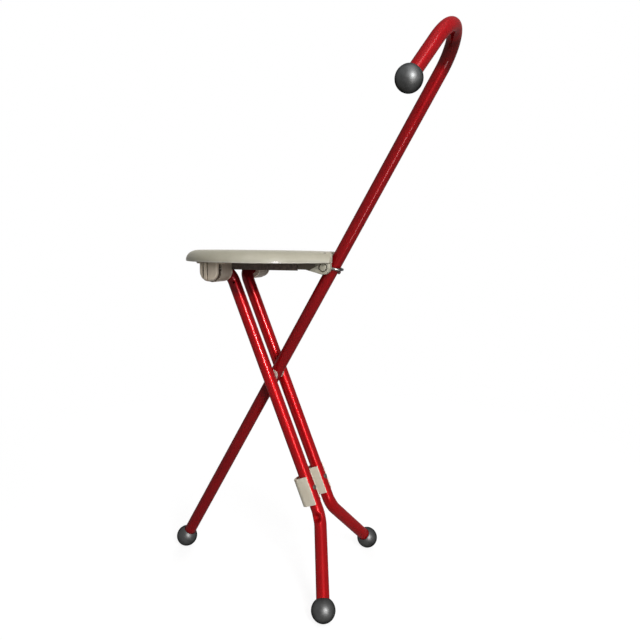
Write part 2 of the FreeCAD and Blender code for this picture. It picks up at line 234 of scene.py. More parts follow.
def open_edges(bm: Mesh) -> list[Edge]:
    """Return the edges with a face on one side only."""
    return [edge for edge in bm.edges if len(edge.link_faces) == 1]


def sharp_edges(bm: Mesh, angle: float) -> list[Edge]:
    """Return the edges that bend by more than an angle in degrees."""
    limit = math.radians(angle)
    return [edge for edge in bm.edges if edge.is_manifold and edge.calc_face_angle() > limit]


def moved(bm: Mesh, placement: Matrix) -> Mesh:
    """Move a whole drawing and return it."""
    bmesh.ops.transform(bm, matrix=placement, verts=bm.verts)
    return bm


def round_off(bm: Mesh, geom: list, width: float, segments: int,
              kind: Rounding = Rounding.EDGES, clamp: bool = False) -> None:
    """Round edges, or the corners of a drawn line.

    Args:
        bm: the mesh to change.
        geom: the edges or the corner vertices.
        width: the rounding's width.
        segments: the rounding's steps.
        kind: what is rounded.
        clamp: whether neighbouring roundings stop where they would meet.
    """
    bmesh.ops.bevel(bm, geom=geom, offset=width, offset_type="OFFSET", affect=kind.value,
                    segments=segments, profile=0.5, material=-1, clamp_overlap=clamp)


def soften(bm: Mesh, width: float, angle: float = 40.0, segments: int = 2) -> None:
    """Round the edges of a solid that bend by more than an angle in degrees."""
    round_off(bm, sharp_edges(bm, angle), width, segments, clamp=True)


def close_up(bm: Mesh) -> None:
    """Merge doubles, fill the open ends and turn the faces outwards.

    Args:
        bm: the mesh to change.
    """
    bmesh.ops.remove_doubles(bm, verts=bm.verts, dist=MERGE)
    bmesh.ops.holes_fill(bm, edges=open_edges(bm), sides=0)
    bmesh.ops.recalc_face_normals(bm, faces=bm.faces)


def slice_off(bm: Mesh, spot: Vector, way: Vector) -> None:
    """Cut away what lies beyond a plane, through a spot and square to a direction."""
    whole = bm.verts[:] + bm.edges[:] + bm.faces[:]
    bmesh.ops.bisect_plane(bm, geom=whole, dist=ON_PLANE, plane_co=spot, plane_no=way,
                           clear_outer=True)


def extrude_ring(bm: Mesh, ring: list[Edge]) -> tuple[list[Vert], list[Edge]]:
    """Extrude a ring of edges, where it is.

    Args:
        bm: the mesh to change.
        ring: the ring's edges.

    Returns:
        The new vertices and the new ring.
    """
    made = bmesh.ops.extrude_edge_only(bm, edges=ring)["geom"]
    verts = of_kind(made, Vert)
    fresh = set(verts)
    return verts, [edge for edge in of_kind(made, Edge) if fresh.issuperset(edge.verts)]


def run_straight(bm: Mesh, ring: list[Edge], run: Vector, pitch: float) -> list[Edge]:
    """Extrude a ring or a line of edges along a straight run.

    Args:
        bm: the mesh to change.
        ring: the edges.
        run: the whole run.
        pitch: the longest face along it.

    Returns:
        The edges at the run's end.
    """
    if run.length < SHORTEST_RUN:
        return ring
    count = max(1, math.ceil(run.length / pitch))
    for _ in range(count):
        verts, ring = extrude_ring(bm, ring)
        bmesh.ops.translate(bm, verts=verts, vec=run / count)
    return ring


def bent_bar(points: list[Vector], bends: list[float], radius: float, sides: int = 56,
             pitch: float = 24.0, bend_step: float = 3.0) -> Mesh:
    """Draw a round bar along straight runs joined by tangent bends.

    Args:
        points: the ends and the corners of the bar's line.
        bends: the bend radius at each corner.
        radius: the bar's radius.
        sides: the count of faces round the bar.
        pitch: the longest face along a straight run.
        bend_step: the turn between two rings of a bend, in degrees.

    Returns:
        The closed mesh.
    """
    bm = bmesh.new()
    here = points[0]
    place = look_along(points[1] - here, here)
    bmesh.ops.create_circle(bm, cap_ends=False, segments=sides, radius=radius, matrix=place)
    ring = list(bm.edges)
    for corner, after, bend in zip(points[1:-1], points[2:], bends):
        arriving = (corner - here).normalized()
        leaving = (after - corner).normalized()
        turn = arriving.angle(leaving)
        setback = bend * math.tan(turn / 2)
        bend_start = corner - arriving * setback
        ring = run_straight(bm, ring, bend_start - here, pitch)
        axis = arriving.cross(leaving).normalized()
        centre = bend_start + axis.cross(arriving) * bend
        steps = max(2, round(math.degrees(turn) / bend_step))
        spun = bmesh.ops.spin(bm, geom=ring, cent=centre, axis=axis, angle=turn, steps=steps)
        ring = of_kind(spun["geom_last"], Edge)
        here = corner + leaving * setback
    run_straight(bm, ring, points[-1] - here, pitch)
    close_up(bm)
    return bm


def wire_line(bm: Mesh, points: list[Vector], closed: bool) -> list[Vert]:
    """Draw a line of edges through a few points.

    Args:
        bm: the mesh to add to.
        points: the line's corners.
        closed: whether the line returns to its start.

    Returns:
        The new vertices in order.
    """
    made = [bmesh.ops.create_vert(bm, co=point)["vert"][0] for point in points]
    after = made[1:] + made[:1] if closed else made[1:]
    for pair in zip(made, after):
        bm.edges.new(pair)
    return made


def prism(points: list[Vector], run: Vector) -> Mesh:
    """Draw a solid with a drawn outline and straight sides.

    Args:
        points: the outline's corners.
        run: from one end to the other.

    Returns:
        The closed mesh.
    """
    bm = bmesh.new()
    wire_line(bm, points, closed=True)
    run_straight(bm, bm.edges[:], run, run.length)
    close_up(bm)
    return bm


def turned(points: list[Vector], steps: int) -> Mesh:
    """Turn a half section about Z.

    Args:
        points: the section's line, with X as the radius.
        steps: the count of faces round the solid.

    Returns:
        The closed mesh.
    """
    bm = bmesh.new()
    wire_line(bm, points, closed=False)
    bmesh.ops.spin(bm, geom=bm.verts[:] + bm.edges[:], cent=ORIGIN, axis=UP,
                   angle=math.tau, steps=steps, use_merge=True)
    close_up(bm)
    return bm


def quarter(centre: Vector, reach: Vector, rise: Vector, steps: int) -> list[Vector]:
    """Draw a quarter of an ellipse.

    Args:
        centre: the ellipse's centre.
        reach: from the centre to the arc's start.
        rise: from the centre to the arc's end.
        steps: the count of chords.

    Returns:
        The arc's points, both ends included.
    """
    angles = [math.pi / 2 * step / steps for step in range(steps + 1)]
    return [centre + reach * math.cos(angle) + rise * math.sin(angle) for angle in angles]


def bar(start: Vector, end: Vector, radius: float, sides: int) -> Mesh:
    """Draw a straight round bar.

    Args:
        start: the centre of one end.
        end: the centre of the other end.
        radius: the bar's radius.
        sides: the count of faces round it.

    Returns:
        The closed mesh.
    """
    bm = bmesh.new()
    run = end - start
    bmesh.ops.create_cone(bm, cap_ends=True, segments=sides, radius1=radius, radius2=radius,
                          depth=run.length, matrix=look_along(run, (start + end) / 2))
    return bm


def box(low: Vector, high: Vector) -> Mesh:
    """Draw a box.

    Args:
        low: the lowest corner.
        high: the highest corner.

    Returns:
        The closed mesh.
    """
    bm = bmesh.new()
    place = Matrix.Translation((low + high) / 2) @ Matrix.Diagonal((*(high - low), 1.0))
    bmesh.ops.create_cube(bm, size=1.0, matrix=place)
    return bm


def to_object(bm: Mesh, name: str) -> bpy.types.Object:
    """Turn a finished drawing into an object in metres.

    Args:
        bm: the drawing, which is used up.
        name: the object's name.

    Returns:
        The object, linked to the scene.
    """
    bmesh.ops.scale(bm, vec=(MM, MM, MM), verts=bm.verts)
    for face in bm.faces:
        face.smooth = True
    mesh = bpy.data.meshes.new(name)
    bm.to_mesh(mesh)
    bm.free()
    mesh.set_sharp_from_angle(angle=math.radians(SMOOTH_ANGLE))
    made = bpy.data.objects.new(name, mesh)
    bpy.context.scene.collection.objects.link(made)
    return made


def combine(bm: Mesh, tool: Mesh, action: Join) -> Mesh:
    """Join a second solid to a first one, or cut it away.

    Args:
        bm: the first solid, which is used up.
        tool: the second solid, which is used up.
        action: what the second solid does.

    Returns:
        The new mesh.
    """
    base = to_object(bm, "base")
    other = to_object(tool, "tool")
    step = base.modifiers.new("join", "BOOLEAN")
    step.operation = action.value
    step.solver = "EXACT"
    step.object = other
    graph = bpy.context.evaluated_depsgraph_get()
    result = bmesh.new()
    result.from_object(base, graph)
    for used in (base, other):
        mesh = used.data
        bpy.data.objects.remove(used)
        bpy.data.meshes.remove(mesh)
    bmesh.ops.scale(result, vec=(1 / MM, 1 / MM, 1 / MM), verts=result.verts)
    bmesh.ops.remove_doubles(result, verts=result.verts, dist=MERGE_AFTER_CUT)
    if not result.faces:
        raise ValueError(f"nothing is left after the step {action.name}")
    return result


class NodeSheet:
    """One node tree, with short calls to add and join its nodes."""

    def __init__(self, tree: Tree) -> None:
        """Keep the tree and start with no nodes."""
        self.tree = tree
        tree.nodes.clear()

    def add(self, kind: str, values: dict | None = None, **settings: object) -> bpy.types.Node:
        """Add a node.

        Args:
            kind: the node's type without its leading word.
            values: numbers, colours or sockets for its inputs, by name or index.
            settings: the node's own properties.

        Returns:
            The new node.
        """
        node = self.tree.nodes.new("ShaderNode" + kind)
        for name, value in settings.items():
            setattr(node, name, value)
        for key, value in (values or {}).items():
            self.feed(node.inputs[key], value)
        return node

    def feed(self, socket: Socket, value: object) -> None:
        """Give a socket a number or colour, or join it to another socket.

        Args:
            socket: the input socket.
            value: the number, the colour or the other socket.
        """
        if isinstance(value, Socket):
            self.tree.links.new(value, socket)
        else:
            socket.default_value = value

    def maths(self, operation: str, first: object, second: object) -> Socket:
        """Return the result of a calculation with two numbers or sockets."""
        return self.add("Math", {0: first, 1: second}, operation=operation).outputs[0]

    def plus(self, first: object, second: object) -> Socket:
        """Return a sum."""
        return self.maths("ADD", first, second)

    def minus(self, first: object, second: object) -> Socket:
        """Return a difference."""
        return self.maths("SUBTRACT", first, second)

    def times(self, first: object, second: object) -> Socket:
        """Return a product."""
        return self.maths("MULTIPLY", first, second)

    def vectors(self, operation: str, first: object, second: object) -> Socket:
        """Return the result of a calculation with two vectors."""
        return self.add("VectorMath", {0: first, 1: second}, operation=operation).outputs["Vector"]

    def length(self, vector: Socket) -> Socket:
        """Return the length of a vector."""
        return self.add("VectorMath", {0: vector}, operation="LENGTH").outputs["Value"]

    def noise(self, vector: Socket, scale: object, detail: float, roughness: float = 0.5) -> Socket:
        """Return a cloudy pattern, from the vector, the scale, the detail and its roughness."""
        return self.add("TexNoise", {"Vector": vector, "Scale": scale, "Detail": detail,
                                     "Roughness": roughness}).outputs[0]

    def spread(self, value: object, low: object, high: object, to_low: float = 0.0,
               to_high: float = 1.0) -> Socket:
        """Map a range of numbers to another one, clamped.

        Args:
            value: the number or socket to map.
            low: the start of the first range.
            high: the end of the first range.
            to_low: the start of the second range.
            to_high: the end of the second range.

        Returns:
            The socket with the result.
        """
        node = self.add("MapRange", {"Value": value, "From Min": low, "From Max": high,
                                     "To Min": to_low, "To Max": to_high})
        return node.outputs[0]

    def mix(self, factor: object, first: object, second: object) -> Socket:
        """Mix two colours.

        Args:
            factor: the share of the second colour.
            first: the first colour or socket.
            second: the second colour or socket.

        Returns:
            The socket with the mixed colour.
        """
        node = self.add("Mix", data_type="RGBA")
        for index, value in ((0, factor), (6, first), (7, second)):
            if isinstance(value, tuple):
                value = (*value, 1.0)
            self.feed(node.inputs[index], value)
        return node.outputs[2]


class EffectGroups:
    """The surface effects that several finishes share, each built once as a node group.

    Every effect reads a place in millimetres and puts out a mask from 0 to 1.
    """

    def __init__(self) -> None:
        """Build every group, with the default values of its inputs."""
        self.mottle = self.make("mottle", self.draw_mottle, {"Scale": 0.05, "Contrast": 1.0})
        self.flecks = self.make("flecks", self.draw_flecks, {"Scale": 0.1, "Cover": 0.1})
        self.scratches = self.make("scratches", self.draw_scratches, {"Scale": 0.5, "Stretch": 0.06})
        self.edge_wear = self.make("edge_wear", self.draw_edge_wear, {"Scale": 0.2, "Amount": 0.5})
        self.spot = self.make("spot", self.draw_spot, {
            "Centre": (0.0, 0.0, 0.0), "Reach": (5.0, 5.0, 5.0), "Ragged": 0.5, "Scale": 0.5})
        self.upward = self.make("upward", self.draw_painted_top_light, {
            "Normal": (0.0, 0.0, 1.0), "Scale": 0.2})

    def make(self, name: str, draw: Callable[[NodeSheet, Sockets], Socket],
             inputs: dict[str, float | Triple]) -> Tree:
        """Build a group.

        Args:
            name: the group's name.
            draw: adds the effect's nodes to a sheet and returns the mask.
            inputs: the inputs' names and default values, beside the place; a tuple makes a vector.

        Returns:
            The group's tree.
        """
        tree = bpy.data.node_groups.new(name, "ShaderNodeTree")
        sheet = NodeSheet(tree)
        for title, value in {"Vector": (0.0, 0.0, 0.0), **inputs}.items():
            kind = "NodeSocketVector" if isinstance(value, tuple) else "NodeSocketFloat"
            socket = tree.interface.new_socket(name=title, in_out="INPUT", socket_type=kind)
            socket.default_value = value
        tree.interface.new_socket(name="Mask", in_out="OUTPUT", socket_type="NodeSocketFloat")
        given = tree.nodes.new("NodeGroupInput")
        out = tree.nodes.new("NodeGroupOutput")
        sheet.feed(out.inputs[0], draw(sheet, given.outputs))
        return tree

    def draw_mottle(self, sheet: NodeSheet, given: Sockets) -> Socket:
        """Return soft clouds of uneven colour."""
        clouds = sheet.noise(given["Vector"], given["Scale"], detail=5.0, roughness=0.6)
        return sheet.plus(sheet.times(sheet.minus(clouds, HALF), given["Contrast"]), HALF)

    def draw_flecks(self, sheet: NodeSheet, given: Sockets) -> Socket:
        """Draw small ragged flecks, as where paint has come off.

        Args:
            sheet: the group's sheet.
            given: the group's inputs.

        Returns:
            The mask.
        """
        finer, fine_share, bare_edge, cover_gain, edge_width = 6.0, 0.35, 0.72, 0.25, 0.02
        large = sheet.noise(given["Vector"], given["Scale"], detail=2.0)
        small = sheet.noise(given["Vector"], sheet.times(given["Scale"], finer), detail=4.0,
                            roughness=0.7)
        both = sheet.plus(sheet.times(large, 1.0 - fine_share), sheet.times(small, fine_share))
        edge = sheet.minus(bare_edge, sheet.times(given["Cover"], cover_gain))
        return sheet.spread(both, edge, sheet.plus(edge, edge_width))

    def draw_scratches(self, sheet: NodeSheet, given: Sockets) -> Socket:
        """Draw thin marks that run along Z.

        Args:
            sheet: the group's sheet.
            given: the group's inputs.

        Returns:
            The mask.
        """
        axes = sheet.add("CombineXYZ", {0: 1.0, 1: 1.0, 2: given["Stretch"]}).outputs[0]
        drawn = sheet.vectors("MULTIPLY", given["Vector"], axes)
        lines = sheet.noise(drawn, given["Scale"], detail=3.0, roughness=0.65)
        return sheet.spread(lines, low=0.58, high=0.72)

    def draw_edge_wear(self, sheet: NodeSheet, given: Sockets) -> Socket:
        """Draw a broken line along outer edges.

        Args:
            sheet: the group's sheet.
            given: the group's inputs.

        Returns:
            The mask.
        """
        edge = sheet.spread(sheet.add("NewGeometry").outputs["Pointiness"], low=0.51, high=0.6)
        clouds = sheet.noise(given["Vector"], given["Scale"], detail=6.0, roughness=0.7)
        broken = sheet.spread(clouds, low=0.4, high=0.62)
        return sheet.times(sheet.times(edge, broken), given["Amount"])

    def draw_spot(self, sheet: NodeSheet, given: Sockets) -> Socket:
        """Draw one ragged mark at a given place.

        Args:
            sheet: the group's sheet.
            given: the group's inputs.

        Returns:
            The mask.
        """
        ragged_gain, full, faded = 4.0, 0.75, 1.0
        away = sheet.vectors("SUBTRACT", given["Vector"], given["Centre"])
        distance = sheet.length(sheet.vectors("DIVIDE", away, given["Reach"]))
        clouds = sheet.minus(sheet.noise(given["Vector"], given["Scale"], detail=4.0), HALF)
        uneven = sheet.times(clouds, sheet.times(given["Ragged"], ragged_gain))
        return sheet.spread(sheet.plus(distance, uneven), full, faded, 1.0, 0.0)

    def draw_painted_top_light(self, sheet: NodeSheet, given: Sockets) -> Socket:
        """Draw an uneven mask of the faces that look up, for painted top light.

        Args:
            sheet: the group's sheet.
            given: the group's inputs.

        Returns:
            The mask.
        """
        height = sheet.add("SeparateXYZ", {0: given["Normal"]}).outputs[2]
        clouds = sheet.minus(sheet.noise(given["Vector"], given["Scale"], detail=3.0), HALF)
        return sheet.spread(sheet.plus(height, sheet.times(clouds, HALF)), low=-0.5, high=0.9)


@dataclass(frozen=True)
class Spot:
    """One mark at a known place, in millimetres: a mark of use, painted shade or painted light."""

    centre: Triple
    reach: Triple
    colour: Colour
    strength: float = 1.0
    ragged: float = 0.5
    scale: float = 0.5


@dataclass(frozen=True)
class Finish:
    """A surface: its colours, its gloss, its grain, its wear and its painted light and shade. Scales
    are counts per millimetre.
    """

    name: str
    slot: str
    dark: Colour
    light: Colour
    roughness: float
    roughness_swing: float = 0.08
    metallic: float = 0.0
    specular: float = 0.5
    edge_tint: Colour = (1.0, 1.0, 1.0)
    coat: float = 0.0
    coat_roughness: float = 0.1
    mottle_scale: float = 0.03
    mottle_contrast: float = 1.6
    grain_scale: float = 1.2
    grain_depth: float = 0.02
    fleck_scale: float = 0.15
    fleck_cover: float = 0.0
    fleck_colour: Colour = (0.05, 0.05, 0.05)
    scratch_scale: float = 0.8
    scratch_amount: float = 0.0
    scratch_colour: Colour = (0.3, 0.3, 0.3)
    wear_amount: float = 0.0
    wear_colour: Colour = (0.4, 0.4, 0.4)
    # Painted top light: the faces that look up are mixed towards a lighter colour by this amount.
    top_light_amount: float = 0.0
    top_light_colour: Colour = (0.5, 0.5, 0.5)
    spots: tuple[Spot, ...] = ()

    def build(self, groups: EffectGroups) -> bpy.types.Material:
        """Build the material.

        Args:
            groups: the shared effects.

        Returns:
            The new material.
        """
        material = bpy.data.materials.new(self.name)
        material.use_nodes = True
        sheet = NodeSheet(material.node_tree)
        place = sheet.add("TexCoord").outputs
        vector = sheet.add("Mapping", {"Vector": place["Object"],
                                       "Scale": (1 / MM, 1 / MM, 1 / MM)}).outputs[0]

        def mask(tree: Tree, **values: object) -> Socket:
            """Return a shared effect's mask on this surface."""
            return sheet.add("Group", {"Vector": vector, **values}, node_tree=tree).outputs[0]

        clouds = mask(groups.mottle, Scale=self.mottle_scale, Contrast=self.mottle_contrast)
        colour = sheet.mix(clouds, self.dark, self.light)
        gloss = sheet.spread(clouds, 0.0, 1.0, self.roughness - self.roughness_swing,
                             self.roughness + self.roughness_swing)
        height = mask(groups.mottle, Scale=self.grain_scale, Contrast=1.0)
        # Painted top light: the faces that look up get a lighter colour.
        if self.top_light_amount > 0:
            share = sheet.times(mask(groups.upward, Normal=place["Normal"]), self.top_light_amount)
            colour = sheet.mix(share, colour, self.top_light_colour)
        if self.scratch_amount > 0:
            share = sheet.times(mask(groups.scratches, Scale=self.scratch_scale), self.scratch_amount)
            colour = sheet.mix(share, colour, self.scratch_colour)
            gloss = sheet.plus(gloss, sheet.times(share, SCRATCH_DULLING))
        if self.fleck_cover > 0:
            share = mask(groups.flecks, Scale=self.fleck_scale, Cover=self.fleck_cover)
            colour = sheet.mix(share, colour, self.fleck_colour)
            gloss = sheet.plus(gloss, sheet.times(share, FLECK_DULLING))
            height = sheet.minus(height, sheet.times(share, FLECK_DEPTH))
        if self.wear_amount > 0:
            share = mask(groups.edge_wear, Amount=self.wear_amount)
            colour = sheet.mix(share, colour, self.wear_colour)
        # Spots are marks of use, painted shade and painted light. Each is mixed into the colour and
        # pressed into the bump.
        for spot in self.spots:
            share = sheet.times(mask(groups.spot, Centre=spot.centre, Reach=spot.reach,
                                     Ragged=spot.ragged, Scale=spot.scale), spot.strength)
            colour = sheet.mix(share, colour, spot.colour)
            height = sheet.minus(height, share)
        bump = sheet.add("Bump", {"Height": height, "Strength": 1.0,
                                  "Distance": self.grain_depth * MM})
        shader = sheet.add("BsdfPrincipled", {
            "Base Color": colour, "Roughness": gloss, "Normal": bump.outputs[0],
            "Metallic": self.metallic, "Specular IOR Level": self.specular,
            "Specular Tint": (*self.edge_tint, 1.0), "Coat Weight": self.coat,
            "Coat Roughness": self.coat_roughness})
        sheet.add("OutputMaterial", {"Surface": shader.outputs[0]})
        return material


LEG_PAINT = Finish(
    name="leg_red_lacquer", slot="red_paint", dark=(0.32, 0.003, 0.005), light=(0.41, 0.005, 0.007),
    roughness=0.36, roughness_swing=0.04, metallic=0.2, specular=0.0, edge_tint=(0.3, 0.1, 0.1),
    coat=0.13, mottle_scale=0.02, grain_scale=0.35, grain_depth=0.01, fleck_scale=0.11,
    fleck_cover=0.03, fleck_colour=(0.10, 0.02, 0.018), scratch_scale=0.5, scratch_amount=0.06,
    scratch_colour=(0.22, 0.006, 0.007),
    # Painted shade: the tops of the legs, under the seat, are painted dark.
    spots=(Spot(centre=(-98.0, 0.0, 452.0), reach=(30.0, 90.0, 40.0), colour=(0.11, 0.003, 0.005),
                strength=0.85, ragged=0.15, scale=0.06),))
# The stick has the legs' red lacquer; its darker colours here are painted shade.
STICK_PAINT = replace(
    LEG_PAINT, name="stick_red_lacquer_painted_darker", dark=(0.21, 0.003, 0.005), light=(0.30, 0.005, 0.007),
    roughness=0.34, roughness_swing=0.05, metallic=0.08, fleck_cover=0.04,
    fleck_colour=(0.07, 0.015, 0.014), scratch_amount=0.08, scratch_colour=(0.14, 0.005, 0.006),
    # Painted light: the crook's front limb is painted lighter.
    spots=(Spot(centre=(184.0, -78.0, 722.0), reach=(45.0, 50.0, 60.0), colour=(0.33, 0.006, 0.009),
                strength=0.9, ragged=0.1, scale=0.03),
           # Painted shade: the rear of the crook, below its bend, is painted dark.
           Spot(centre=(204.0, -8.0, 742.0), reach=(34.0, 22.0, 34.0), colour=(0.075, 0.004, 0.004),
                strength=0.75, ragged=0.2, scale=0.05)))
# Painted top light: the faces of the balls that look up are painted lighter.
BALL_METAL = Finish(
    name="dark_ball_metal", slot="ball_metal", dark=(0.027, 0.027, 0.026), light=(0.052, 0.052, 0.051),
    roughness=0.47, metallic=1.0, edge_tint=(0.15, 0.15, 0.15), mottle_scale=0.12,
    mottle_contrast=2.0, fleck_scale=0.25, fleck_cover=0.08, fleck_colour=(0.018, 0.018, 0.017),
    scratch_scale=0.9, scratch_amount=0.3, scratch_colour=(0.08, 0.083, 0.086),
    top_light_amount=0.9, top_light_colour=(0.10, 0.103, 0.105))
# The feet have the handle ball's metal; their changed body and top colours are painted light and shade.
FOOT_METAL = replace(BALL_METAL, name="dark_foot_metal", light=(0.07, 0.07, 0.069),
                     top_light_colour=(0.06, 0.06, 0.06))
SEAT_PLASTIC = Finish(
    name="beige_moulded_plastic", slot="seat_plastic", dark=(0.41, 0.385, 0.29),
    light=(0.53, 0.505, 0.41), roughness=0.5, specular=0.2, mottle_scale=0.025, fleck_scale=0.09,
    fleck_cover=0.03, fleck_colour=(0.30, 0.26, 0.19), wear_amount=0.5, wear_colour=(0.78, 0.75, 0.66),
    # Painted highlight: a light line along the lower edge of the lip.
    spots=(Spot(centre=(-65.9, 0.0, 470.2), reach=(142.0, 142.0, 1.5), colour=(0.74, 0.70, 0.62),
                strength=0.6, ragged=0.1, scale=0.15),
           Spot(centre=(-2.0, -86.5, 470.3), reach=(7.0, 7.0, 1.6), colour=(0.92, 0.90, 0.86),
                ragged=0.9),
           Spot(centre=(41.7, -21.9, 482.5), reach=(2.6, 2.6, 1.5), colour=(0.10, 0.09, 0.08),
                strength=0.8, ragged=0.3),
           Spot(centre=(49.5, -14.0, 483.0), reach=(1.8, 1.8, 1.8), colour=(0.10, 0.09, 0.08),
                strength=0.8, ragged=0.3),
           # Painted shade: the ring round each lug's cap and each lug's set-back web, under the seat's
           # edge, are painted dark.
           *(Spot(centre=(along, side.value * away, level), reach=reach, colour=(0.06, 0.042, 0.028),
                  strength=0.88, ragged=0.15)
             for side in Side
             for along, away, level, reach in ((40.4, 22.6, 463.2, (7.6, 2.1, 7.6)),
                                               (16.0, 22.6, 464.5, (22.0, 2.2, 9.0))))))
# The hubs have the seat's beige plastic; their lighter colours here are painted light.
HUB_PLASTIC = replace(
    SEAT_PLASTIC, name="hub_beige_painted_lighter", dark=(0.62, 0.525, 0.41), light=(0.82, 0.71, 0.575),
    specular=0.15, mottle_scale=0.06, fleck_scale=0.15, fleck_cover=0.08,
    fleck_colour=(0.2, 0.16, 0.11), wear_amount=0.6, wear_colour=(0.74, 0.66, 0.55),
    # Painted shade: the slots beside the rib, the groove, the barrel and the underside of the end disc
    # are painted dark.
    spots=tuple(Spot(centre=(PLANE.hinge.x + along, side.value * away, PLANE.hinge.z + lift),
                     reach=reach, colour=(0.07, 0.045, 0.028), strength=strength, ragged=0.15)
                for side in Side
                for along, away, lift, reach, strength in (
                    (-7.6, 81.6, 0.0, (1.4, 3.0, 17.0), 0.95),
                    (-1.0, 81.6, 0.0, (1.4, 3.0, 13.0), 0.95),
                    (0.0, 75.3, 0.0, (24.0, 4.2, 24.0), 0.95),
                    (8.0, 60.0, 0.0, (32.0, 17.0, 30.0), 0.42),
                    (2.0, 80.0, -17.0, (20.0, 9.0, 9.0), 0.3))))
# The clips have the seat's beige plastic; their lighter colours here are painted light.
CLIP_PLASTIC = replace(
    SEAT_PLASTIC, name="clip_beige_painted_lighter", dark=(0.74, 0.66, 0.51), light=(0.88, 0.82, 0.67),
    roughness=0.48, mottle_scale=0.07, fleck_scale=0.2, fleck_cover=0.05,
    fleck_colour=(0.36, 0.29, 0.2), wear_amount=0.8, wear_colour=(0.94, 0.87, 0.77),
    spots=(Spot(centre=(4.0, -33.0, 156.0), reach=(6.0, 5.0, 4.0), colour=(0.34, 0.24, 0.15),
                strength=0.6, ragged=0.6, scale=0.3),))
# The rails' near-black brown is partly their own colour and partly painted shade of the hollow under
# the seat's lip.
RAIL_PAINT = Finish(
    name="dark_brown_rail_paint_and_shade", slot="rail_paint", dark=(0.026, 0.013, 0.007),
    light=(0.05, 0.03, 0.018), roughness=0.45, specular=0.3, mottle_scale=0.06, grain_depth=0.03,
    wear_amount=0.4, wear_colour=(0.16, 0.12, 0.09))
SPACER_PLASTIC = Finish(
    name="pale_spacer_nylon", slot="spacer_plastic", dark=(0.5, 0.42, 0.35), light=(0.66, 0.58, 0.5),
    roughness=0.45, roughness_swing=0.05, mottle_scale=0.1, grain_scale=2.0)
BRIGHT_WIRE = Finish(
    name="bright_steel_wire", slot="bright_wire", dark=(0.10, 0.094, 0.088), light=(0.20, 0.19, 0.18),
    roughness=0.24, roughness_swing=0.06, metallic=1.0, mottle_scale=0.15, grain_scale=1.5,
    grain_depth=0.015, fleck_scale=0.3, fleck_cover=0.12, fleck_colour=(0.2, 0.15, 0.11),
    scratch_scale=1.2, scratch_amount=0.4, scratch_colour=(0.2, 0.19, 0.18),
    # Painted shade: the wire's rear, behind the stick, is painted dark.
    spots=(Spot(centre=tuple(PLANE.wire_rear), reach=(7.0, 10.0, 7.0), colour=(0.03, 0.03, 0.034),
                ragged=0.3),))
PLAIN_STEEL = Finish(
    name="plain_steel", slot="steel", dark=(0.38, 0.37, 0.35), light=(0.56, 0.55, 0.53),
    roughness=0.36, metallic=1.0, mottle_scale=0.2, grain_scale=1.5, scratch_amount=0.3,
    scratch_colour=(0.25, 0.24, 0.23))
DARK_STEEL = Finish(
    name="blackened_rivet_steel", slot="dark_steel", dark=(0.035, 0.02, 0.015),
    light=(0.10, 0.065, 0.05), roughness=0.5, roughness_swing=0.1, specular=0.25, mottle_scale=0.25,
    grain_scale=1.5, grain_depth=0.03, wear_amount=0.5, wear_colour=(0.2, 0.18, 0.16))
PAINTED_RIVET = Finish(
    name="dark_painted_rivet", slot="dark_steel", dark=(0.05, 0.008, 0.009), light=(0.11, 0.015, 0.015),
    roughness=0.36, specular=0.2, mottle_scale=0.25, wear_amount=0.4, wear_colour=(0.16, 0.05, 0.04))


class Workshop:
    """Holds the finishes and hands finished pieces to the frame."""

    def __init__(self) -> None:
        """Build the shared effects."""
        self.groups = EffectGroups()
        self.materials: dict[str, bpy.types.Material] = {}

    def material(self, finish: Finish) -> bpy.types.Material:
        """Find a finish's material, built at its first use.

        Args:
            finish: the surface.

        Returns:
            The material.
        """
        if finish.name not in self.materials:
            self.materials[finish.name] = finish.build(self.groups)
        return self.materials[finish.name]

    def deliver(self, bm: Mesh, name: str, finish: Finish, body: Body, *nodes: str) -> None:
        """Turn a drawing into a piece of the model.

        Args:
            bm: the drawing, which is used up.
            name: the piece's name.
            finish: its surface.
            body: the body that it moves with.
            nodes: the frame's nodes that it stands for.
        """
        piece = to_object(bm, name)
        piece.data.materials.append(self.material(finish))
        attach(piece, body.value)
        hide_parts(*nodes)
        log.info("%s rides on %s and stands for %s", name, body.value, ", ".join(nodes))

    def dress(self, node: str, finish: Finish) -> None:
        """Give a node of the frame its surface.

        Args:
            node: the node's name.
            finish: the surface.
        """
        shown = frame["nodes"][node]
        shown.data.materials.clear()
        shown.data.materials.append(self.material(finish))
        log.info("%s keeps its shape, in %s", node, finish.name)


